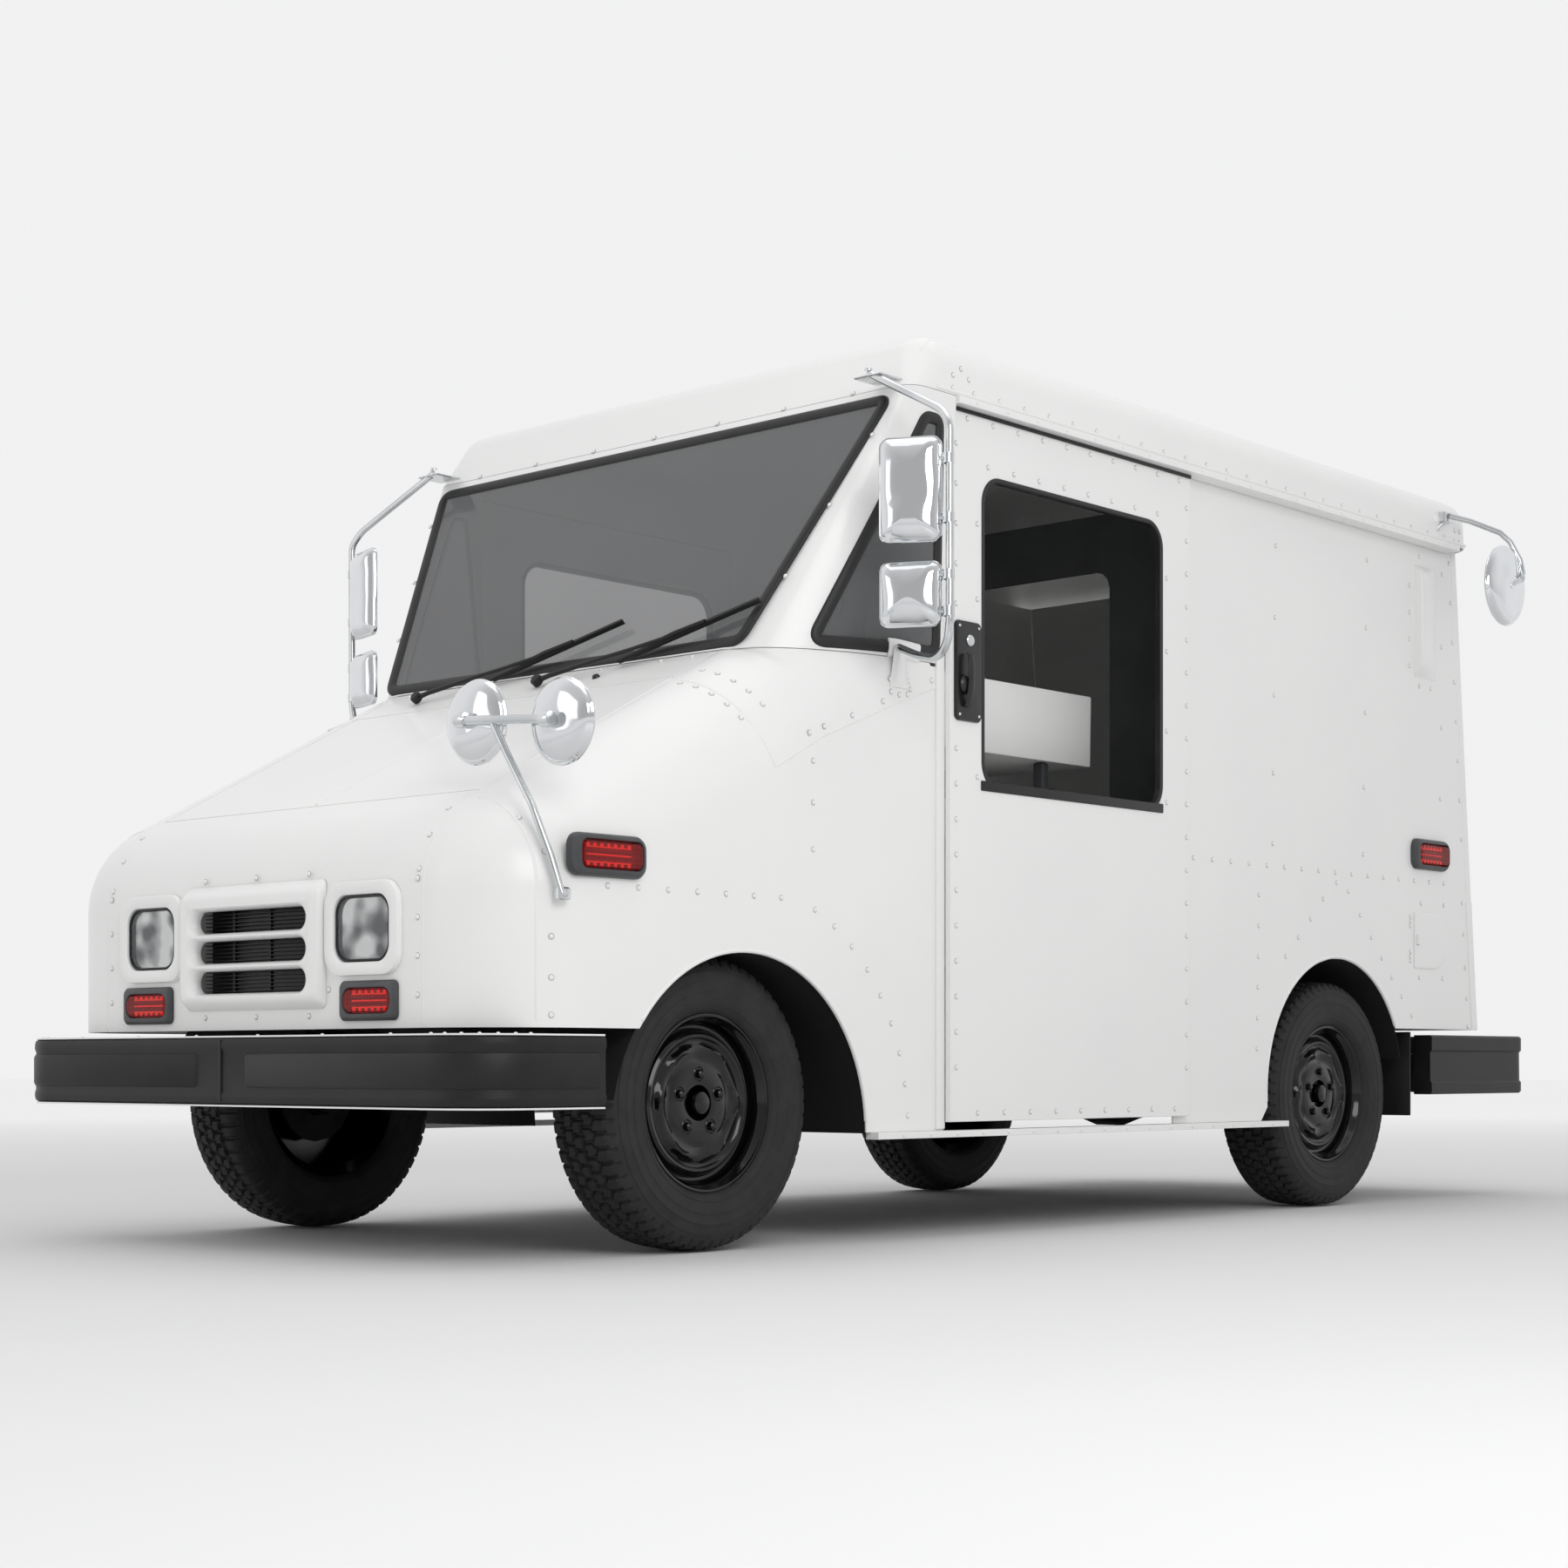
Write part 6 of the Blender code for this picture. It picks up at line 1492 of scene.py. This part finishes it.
x, s, z = 0.985, 3.188, 1.847
shape = turned(round_mirror(0.120, 0.026), (x, at(s), z), "X", 64, closed=False)
arm = [Vector((a, at(b), c)) for a, b, c in ((0.8600, 3.092, 2.060), (0.902, 3.142, 2.046), (0.965, 3.212, 2.013),
                                             (0.988, 3.232, 1.985), (1.010, 3.252, 1.930), (1.018, 3.254, 1.890),
                                             (1.020, 3.238, 1.868), (x + 0.030, s + 0.010, z + 0.006),
                                             (x + 0.026, s, z))]
ball = turned([(0.0, -0.012), (0.008, -0.009), (0.012, 0.0), (0.008, 0.009), (0.0, 0.012)], (1.020, at(3.240), 1.872),
              "Y", 20, closed=False)
glass = turned([(0.0, 0.0002), (0.112, 0.0002), (0.112, -0.0004), (0.0, -0.0004)], (x, at(s), z), "X", 56,
               closed=False)
piece("tail_mirror_shell", shape, polished_steel, "rear_mirror", ["rear_mirror"])
piece("tail_mirror_glass", glass, silvered_glass, "rear_mirror")
piece("tail_mirror_arm", merge(tube(arm, 0.0085, 14), ball), zinc_steel, "rear_mirror")
clamp = block((0.828, at(3.070), 2.040), (0.858, at(3.112), 2.074), 0.004)
brace = tube([(0.8385, at(3.06), 2.015), (0.850, at(3.085), 2.045), (0.850, at(3.10), 2.055)], 0.006, 10)
piece("tail_mirror_clamp", merge(clamp, brace), zinc_steel)

# %% [markdown]
# ## Wipers
# Each wiper has a cast base on its spindle, a flat spring arm, and a blade on a yoke: a rubber lip in a steel
# channel. Arm and blade lie across the bottom of the glass.

# %% Wipers
for name, foot in (("wiper_right", (-0.389, 0.120, 1.3225)), ("wiper_left", (0.053, 0.120, 1.3225))):
    foot = Vector((foot[0], at(foot[1]), foot[2]))
    reach, drop = Vector((0.600, 0, 0)) + SCREEN_UP * 0.186, -SCREEN_OUT * 0.048
    ahead = reach.normalized()
    knob = turned([(0.0, 0.012), (0.010, 0.0115), (0.0145, 0.008), (0.0150, -0.006), (0.0, -0.007)],
                  axis="Z", steps=24, closed=False)
    base = moved(knob, standing(foot, SCREEN_OUT))
    arm = tube([foot, foot + reach * 0.06, foot + reach * 0.30 + drop * 0.35, foot + reach * 0.42 + drop * 0.55,
                foot + reach * 0.62 + drop * 0.80], 0.0078, 12, 0.8, 0.62)
    blade_start, blade_end = foot + reach * 0.34 + drop * 0.98, foot + reach * 1.0 + drop * 1.0
    lip = ahead.cross(SCREEN_OUT).normalized()
    channel = loft([[p + lip * u + SCREEN_OUT * v for u, v in ((-0.0045, 0.001), (0.0045, 0.001), (0.0035, 0.009),
                                                               (-0.0035, 0.009))] for p in (blade_start, blade_end)])
    rubber = loft([[p + lip * u + SCREEN_OUT * v for u, v in ((-0.0012, -0.006), (0.0012, -0.006), (0.003, 0.002),
                                                              (-0.003, 0.002))] for p in (blade_start, blade_end)])
    yoke = tube([foot + reach * 0.50 + drop * 0.80, foot + reach * 0.62 + drop * 0.72,
                 foot + reach * 0.76 + drop * 0.80], 0.0052, 10)
    piece(f"{name}_arm", merge(base, arm, yoke, channel), polypropylene, name, [name])
    piece(f"{name}_blade", rubber, seal_rubber, name)
for x in (-0.20, 0.24):
    jet = turned([(0.0, 0.009), (0.006, 0.008), (0.009, 0.004), (0.010, -0.001)], axis="Z", steps=16, closed=False)
    place = standing((x, at(0.135), hood_height(0.135)), (0, *HOOD_NORMAL))
    piece(f"washer_jet_{'left' if x > 0 else 'right'}", moved(jet, place), gloss_plastic)

# %% [markdown]
# ## Driver's seat
# The cushion and the back are foam under vinyl. Each starts as a slightly small rounded block, remeshed evenly,
# and a cloth simulation with inner pressure swells it until the cover is tight. The push is capped at 26 mm, and
# one subdivision smooths the result.


# %% Seat
def cushion_block(size, edge, turn, centre):
    """A rounded block of foam in place."""
    w, d, h = size
    rings = []
    for k in range(9):
        t = k / 8
        shrink = edge * (1 - math.sin(math.pi * t)) * 0.55
        rings.append([(u, v, -h / 2 + h * t) for u, v in rounded(w - 2 * shrink, d - 2 * shrink, edge, 5)])
    return moved(loft(rings), Matrix.Translation(centre) @ Matrix.Rotation(turn, 4, "X"))


def inflate(obj, pressure=4.0, cap=0.026):
    """Swells a closed piece like a stuffed cover, but moves no point further than cap."""
    bpy.context.view_layer.objects.active = obj
    remesh = obj.modifiers.new("even", "REMESH")
    remesh.mode, remesh.voxel_size = "VOXEL", 0.008
    graph = bpy.context.evaluated_depsgraph_get()
    even = bpy.data.meshes.new_from_object(obj.evaluated_get(graph))
    obj.modifiers.clear()
    obj.data = even
    start = [v.co.copy() for v in even.vertices]
    cloth = obj.modifiers.new("swell", "CLOTH")
    cloth.settings.use_pressure = True
    cloth.settings.uniform_pressure_force = pressure
    cloth.settings.effector_weights.gravity = 0
    cloth.settings.quality = 5
    cloth.point_cache.frame_start, cloth.point_cache.frame_end = 1, 20
    for step in range(1, 21):
        bpy.context.scene.frame_set(step)
    graph = bpy.context.evaluated_depsgraph_get()
    swollen = bpy.data.meshes.new_from_object(obj.evaluated_get(graph))
    obj.modifiers.clear()
    obj.data = swollen
    for v, p in zip(swollen.vertices, start):
        push = v.co - p
        if push.length > cap:
            v.co = p + push.normalized() * cap
    bpy.context.scene.frame_set(1)
    soft = obj.modifiers.new("smooth", "SUBSURF")
    soft.levels = soft.render_levels = 1
    obj.data.shade_smooth()
    print(obj.name, len(obj.data.vertices), "points")


SEAT_X = -0.40
seat = piece("seat_cushion", cushion_block((0.40, 0.42, 0.085), 0.035, math.radians(4), (SEAT_X, at(1.385), 0.865)),
             seat_vinyl, stands_for=["driver_seat"])
back = piece("seat_back", cushion_block((0.40, 0.075, 0.50), 0.033, math.radians(-10), (SEAT_X, at(1.735), 1.165)),
             seat_vinyl)
for cushion in (seat, back):
    inflate(cushion)
    if not cushion.data.materials:
        cushion.data.materials.append(seat_vinyl)
column = block((SEAT_X - 0.13, at(1.29), 0.4560), (SEAT_X + 0.13, at(1.57), 0.790), 0.015)
tray = block((SEAT_X - 0.19, at(1.20), 0.785), (SEAT_X + 0.19, at(1.60), 0.812), 0.008)
hinge = block((SEAT_X - 0.17, at(1.58), 0.790), (SEAT_X + 0.17, at(1.72), 0.850), 0.010)
piece("seat_pedestal", merge(column, tray, hinge), primer_and_painted_shade)

# %% [markdown]
# ## Cab interior
# Through the glass one sees the steering wheel, a white tray for the mail beside the driver, and dark primed panels,
# whose darkness is partly painted shade. The wheel is a moulded ring on three spokes round a padded hub, set square
# to the tilted column.

# %% Steering wheel and column
HUB = Vector((SEAT_X, at(0.985), 1.185))
TILT = math.radians(52)
axis = Vector((0, math.sin(TILT) * 0.78, math.cos(TILT))).normalized()
turn = standing(HUB, axis)
ring = [(0.190 + 0.0118 * math.cos(a), 0.0118 * math.sin(a)) for a in (FULL_TURN * k / 14 for k in range(14))]
parts = [turned(ring, axis="Z", steps=72)]
parts.append(turned([(0.0, 0.022), (0.020, 0.021), (0.030, 0.015), (0.033, 0.004), (0.030, -0.010), (0.0, -0.010)],
                    axis="Z", steps=40, closed=False))
for k in range(3):
    spin = Matrix.Rotation(math.radians(90 + 120 * k), 4, "Z")
    parts.append(moved(tube([(0.022, 0, 0.004), (0.10, 0, 0.0), (0.188, 0, 0.0)], 0.0105, 14, 0.45), spin))
piece("moulded_steering_wheel", moved(merge(*parts), turn), gloss_plastic, "steering", ["steering_wheel"])
piece("steering_column", tube([HUB - axis * 0.012, HUB - axis * 0.16], 0.022, 20), gloss_plastic)
TRAY_MIDDLE = (0.41, at(1.255))


def tray_ring(wide, long, z):
    return [(TRAY_MIDDLE[0] + u, TRAY_MIDDLE[1] + v, z) for u, v in rounded(wide, long, 0.012, 5)]


tray = [tray_ring(*step) for step in ((0.372, 0.722, 1.200), (0.376, 0.726, 1.203), (0.380, 0.730, 1.384),
                                      (0.378, 0.728, 1.386), (0.368, 0.718, 1.386), (0.366, 0.716, 1.208))]
piece("mail_tray", loft(tray), enamel)
legs = [block((x, at(s), 1.0556), (x + 0.03, at(s) + 0.03, 1.1995), 0.004)
        for x in (0.24, 0.55) for s in (0.92, 1.42)]
piece("tray_legs", merge(*legs), primer_and_painted_shade)
pedals = [block((SEAT_X + x, at(0.70), 0.53), (SEAT_X + x + 0.07, at(0.715), 0.60), 0.006) for x in (-0.02, 0.09)]
rods = [tube([(SEAT_X + x + 0.035, at(s), z) for s, z in ends], 0.006, 10)
        for ends in (((0.7155, 0.57), (0.735, 0.75)), ((0.735, 0.75), (0.752, 0.955))) for x in (-0.02, 0.09)]
piece("pedals", merge(*pedals, *rods), seal_rubber)

# %% [markdown]
# ## Painted shadows round the rivets
# A flat grey ring under each rivet head is painted shadow: it draws the shade round the head. All the rings of one
# body are one piece.

# %% Painted shadow rings round the rivets
painted_shadow_grey = grained("painted shadow on enamel", "white_body", "#9C9C9B", "#B4B4B3", (0.6, 0.7), 0.003, 0.0001)
for body, rings in rivet_shadow_rings.items():
    piece(f"rivet_shadow_rings_{body}", merge(*rings), painted_shadow_grey, body)
print("rings:", sum(len(rings) for rings in rivet_shadow_rings.values()))

# %% [markdown]
# ## Floor, light and camera
# The product stands on a plain pale floor whose far part glows a little, so that it meets the pale world without a
# line. A large soft panel at the truck's left keys the picture, a wide one above fills it, and a weak one lights the
# nose from the right. The camera stands low, off the front left corner, with its lens shifted up so that verticals
# stay true. The standard view transform keeps the white enamel white.

# %% Stage
backdrop, tree, shader, place = finish("matt studio paper", "white_body", Roughness=0.9)
grain = add_node(tree, "ShaderNodeTexNoise", {"Vector": place, "Scale": 0.4, "Detail": 1.0})
ramp = add_node(tree, "ShaderNodeValToRGB", {"Fac": grain.outputs["Fac"]})
ramp.color_ramp.elements[0].color, ramp.color_ramp.elements[1].color = linear("#DFDFDF"), linear("#E2E2E2")
tree.links.new(ramp.outputs["Color"], shader.inputs["Base Color"])
away = add_node(tree, "ShaderNodeVectorMath", {0: place}, operation="LENGTH")
glow = add_node(tree, "ShaderNodeMapRange", {"Value": away.outputs["Value"], "From Min": 3.5, "From Max": 14.0,
                                             "To Min": 0.0, "To Max": 0.26})
shader.inputs["Emission Color"].default_value = linear("#FDFDFE")
tree.links.new(glow.outputs["Result"], shader.inputs["Emission Strength"])
floor = bpy.data.meshes.new("floor")
floor.from_pydata([(-60, -60, -0.001), (60, -60, -0.001), (60, 60, -0.001), (-60, 60, -0.001)], [], [(0, 1, 2, 3)])
floor.materials.append(backdrop)
floor = bpy.data.objects.new("studio_floor", floor)
bpy.context.scene.collection.objects.link(floor)

# %% Light
bpy.context.scene.view_settings.view_transform = "Standard"
world = bpy.data.worlds.new("studio")
bpy.context.scene.world = world
world.use_nodes = True
room = world.node_tree
towards = add_node(room, "ShaderNodeTexCoord").outputs["Generated"]
facing = add_node(room, "ShaderNodeVectorMath", {0: towards, 1: (-0.67, 0.74, 0.15)}, operation="DOT_PRODUCT")
level = add_node(room, "ShaderNodeMapRange", {"Value": facing.outputs["Value"], "From Min": -0.75, "From Max": 0.30,
                                              "To Min": 0.50, "To Max": 0.90})
room.nodes["Background"].inputs["Color"].default_value = linear("#FDFDFE")
room.links.new(level.outputs["Result"], room.nodes["Background"].inputs["Strength"])


def soft_panel(name, place, target, size, power):
    """A square area light that faces a target."""
    light = bpy.data.lights.new(name, "AREA")
    light.energy, light.size = power, size
    lamp = bpy.data.objects.new(name, light)
    lamp.location = place
    lamp.rotation_euler = (Vector(target) - Vector(place)).to_track_quat("-Z", "Y").to_euler()
    bpy.context.scene.collection.objects.link(lamp)


soft_panel("key panel", (5.0, -3.6, 3.2), (0.8, -1.5, 0.9), 2.6, 82)
soft_panel("top panel", (0.5, -0.5, 6.5), (0.0, 0.0, 0.0), 5.0, 40)
soft_panel("front fill", (-2.0, -7.0, 2.6), (0.0, -2.0, 0.9), 3.0, 20)

# %% Camera
camera = bpy.data.cameras.new("view")
camera.lens, camera.sensor_width, camera.shift_y = 60.85, 36.0, 0.1789
viewer = bpy.data.objects.new("view", camera)
viewer.location = (4.725, -5.6445, 0.408)
viewer.rotation_euler = (math.radians(90), 0, math.radians(42.1))
bpy.context.scene.collection.objects.link(viewer)
bpy.context.scene.camera = viewer
